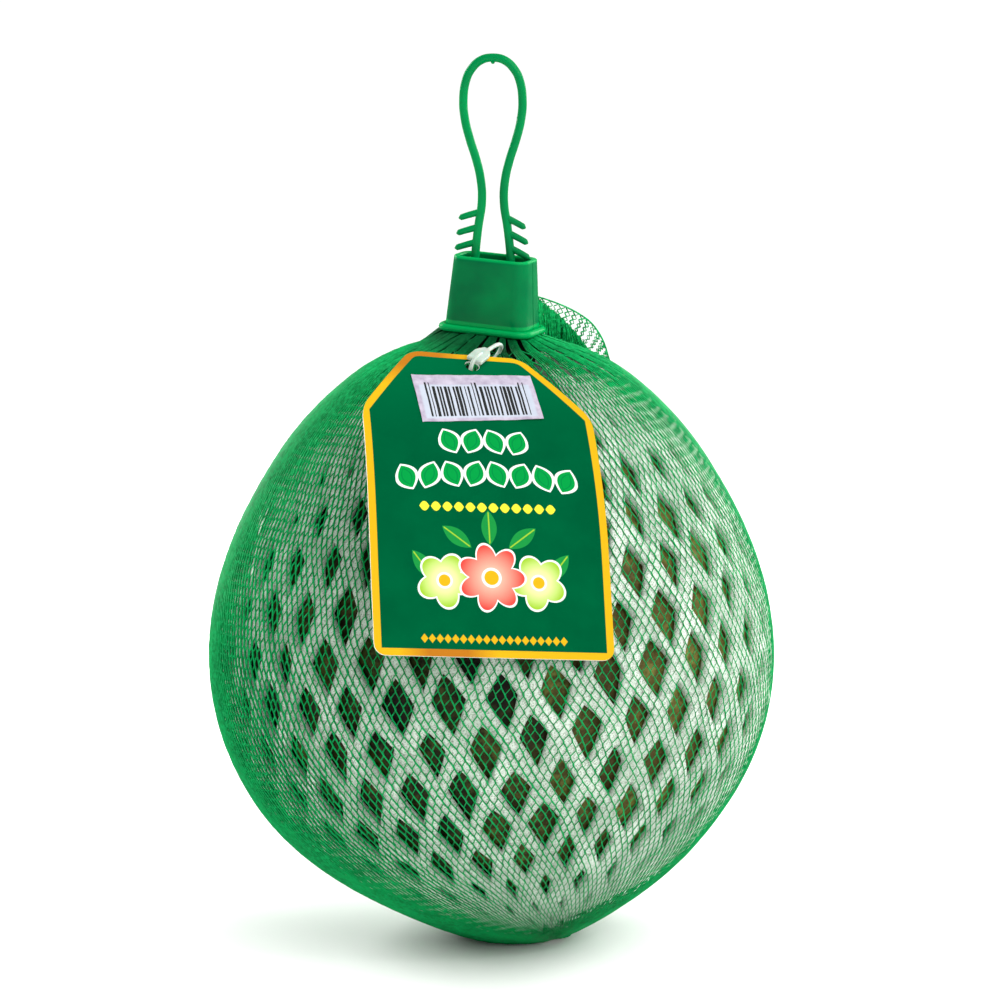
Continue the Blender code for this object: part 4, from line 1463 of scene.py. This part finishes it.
def pinPaint():
    fixed = {"Specular IOR Level": 0.45, "Subsurface Weight": 0.25, "Subsurface Scale": mm}
    paint = Paint("milkyPlastic", fixed)
    place = paint.objectPlace()
    cloud = paint.mottle(place, 400, 3, 0.5, 0.35, 0.7)
    paint.colour(paint.colourMix(cloud, pin["shade"], pin["milk"]))
    paint.rough(0.3 + cloud * 0.15)
    paint.bump(cloud, 0.06 * mm, 0.5)
    return paint


def makePin():
    x, y = tag["hole"]
    front = tagPoint(x, y, 2.0)
    back = tagPoint(x, y, -pin["back"])
    over = tagPoint(x + pin["over"][0], tag["height"] + pin["over"][1], pin["over"][2])
    far = [Vector(point) * mm for point in pin["far"]]
    ring = rodPiece("pinRing", [back, front, over] + far, pin["radius"], cyclic=True)
    size = pin["paddle"]
    paddle = boxPiece("pinPaddle", size)
    slicePiece(paddle, np.linspace(-0.5 * size[0], 0.5 * size[0], 11)[1:-1], 0)
    editMode()
    pickEdges(paddle, lambda a, b: abs(a.x) > 0.49 * size[0] and abs(b.x) > 0.49 * size[0]
              or a.y * b.y > 0 and a.z * b.z > 0)
    bpy.ops.mesh.bevel(offset=pin["paddleBevel"], segments=3, affect="EDGES")
    objectMode()

    def shape(co):
        # a flat tab that narrows to the ring at one end and folds a little along its middle
        s = co.x / size[0]
        return Vector((co.x, co.y * (1 - 0.6 * smoothRise(s, 0.1, 0.5)), co.z + 0.7 * abs(co.y) / size[1]))

    reshape(paddle, shape)
    along = (over - front).normalized()
    normal = (tagPoint(x, y, 1) - tagPoint(x, y, 0)).normalized()
    across = normal.cross(along).normalized()
    turn = Matrix((along, across, along.cross(across))).transposed().to_4x4()
    placeIn(paddle, Matrix.Translation(front * 0.4 + over * 0.6) @ turn @ Matrix.Scale(mm, 4))
    piece = joined("tagPin", [ring, paddle])
    finishPiece(piece, [pinPaint()], ["tag_pin"], 40)
    stageDone("pin")


makeFruit()
makeFoam()
makeNet()
makeNeckCore()
makeFold()
makeKnot()
makeCollar()
makeLoop()
makeTag()
makeSticker()
makePin()


# floor, light and camera
studio = {
    "floorRadius": 4.0,
    "floorColours": ("#f4f5f3", "#fbfbfa"),
    "worldStrength": 1.04,
    # along each axis of the world: where the room is darkest and brightest, and how dark it gets
    "room": (("X", -0.7, 0.9, 0.34), ("Y", 0.35, 0.8, 0.0), ("Z", 0.16, 0.06, 0.0)),
    "sunPower": 2.0,
    "sunWidth": math.radians(60),
    "sunDirection": (-0.62, 0.62, -0.9),
    # place, aim, size and power
    "lamps": {
        "sparkle": ((0.8, -0.9, 0.95), (0, 0, 0.17), 0.08, 1.6),
        "backLeft": ((-0.8, 0.6, 0.55), (0, 0, 0.08), 0.6, 13),
        "backRight": ((0.85, 0.65, 0.5), (0, 0, 0.08), 0.6, 9),
    },
    "cameraTarget": (2.2 * mm, 0, 119.5 * mm),
    "cameraDistance": 1.1,
    "cameraElevation": math.radians(8),
    "pixelSize": 0.27 * mm,  # at the target
    "pixels": 1000,
    "sensor": 36,
}


def makeFloor():
    bpy.ops.mesh.primitive_circle_add(vertices=96, radius=studio["floorRadius"], fill_type="NGON")
    floor = newest("floor")
    paint = Paint("paleFloor", {"Roughness": 0.9})
    cloud = paint.noise(paint.objectPlace(), 3, 2, 0.5)
    paint.colour(paint.colourMix(cloud, *studio["floorColours"]))
    floor.data.materials.append(paint.material)


def pointAt(thing, direction):
    thing.rotation_euler = Vector(direction).to_track_quat("-Z", "Y").to_euler()


def makeStudio():
    world = bpy.data.worlds.new("softWhite")
    bpy.context.scene.world = world
    world.use_nodes = True
    tree = world.node_tree
    background = tree.nodes["Background"]
    background.inputs["Strength"].default_value = studio["worldStrength"]
    # a white wall behind and down at the horizon, and a room that grows dimmer towards the left
    split = tree.nodes.new("ShaderNodeSeparateXYZ")
    tree.links.new(tree.nodes.new("ShaderNodeTexCoord").outputs["Generated"], split.inputs[0])
    light = None
    for axis, darkest, brightest, least in studio["room"]:
        band = tree.nodes.new("ShaderNodeMapRange")
        band.inputs["From Min"].default_value = darkest
        band.inputs["From Max"].default_value = brightest
        band.inputs["To Min"].default_value = least
        tree.links.new(split.outputs[axis], band.inputs["Value"])
        most = tree.nodes.new("ShaderNodeMath")
        most.operation = "MAXIMUM"
        most.inputs[1].default_value = 0
        tree.links.new(band.outputs[0], most.inputs[0])
        if light:
            tree.links.new(light, most.inputs[1])
        light = most.outputs[0]
    tree.links.new(light, background.inputs["Color"])
    bpy.ops.object.light_add(type="SUN", location=(1, -1, 1.5))
    sun = newest("sun")
    sun.data.energy = studio["sunPower"]
    sun.data.angle = studio["sunWidth"]
    pointAt(sun, studio["sunDirection"])
    for name, (place, aim, size, power) in studio["lamps"].items():
        bpy.ops.object.light_add(type="AREA", location=place)
        lamp = newest(name)
        lamp.data.size = size
        lamp.data.energy = power
        pointAt(lamp, Vector(aim) - Vector(place))
    bpy.context.scene.view_settings.view_transform = "Standard"


def makeCamera():
    elevation = studio["cameraElevation"]
    target = Vector(studio["cameraTarget"])
    back = Vector((0, -math.cos(elevation), math.sin(elevation)))
    bpy.ops.object.camera_add(location=target + back * studio["cameraDistance"])
    camera = newest("camera")
    pointAt(camera, -back)
    camera.data.sensor_width = studio["sensor"]
    camera.data.lens = studio["sensor"] * studio["cameraDistance"] / (studio["pixels"] * studio["pixelSize"])
    bpy.context.scene.camera = camera


makeFloor()
makeStudio()
makeCamera()
stageDone("floor, light and camera")
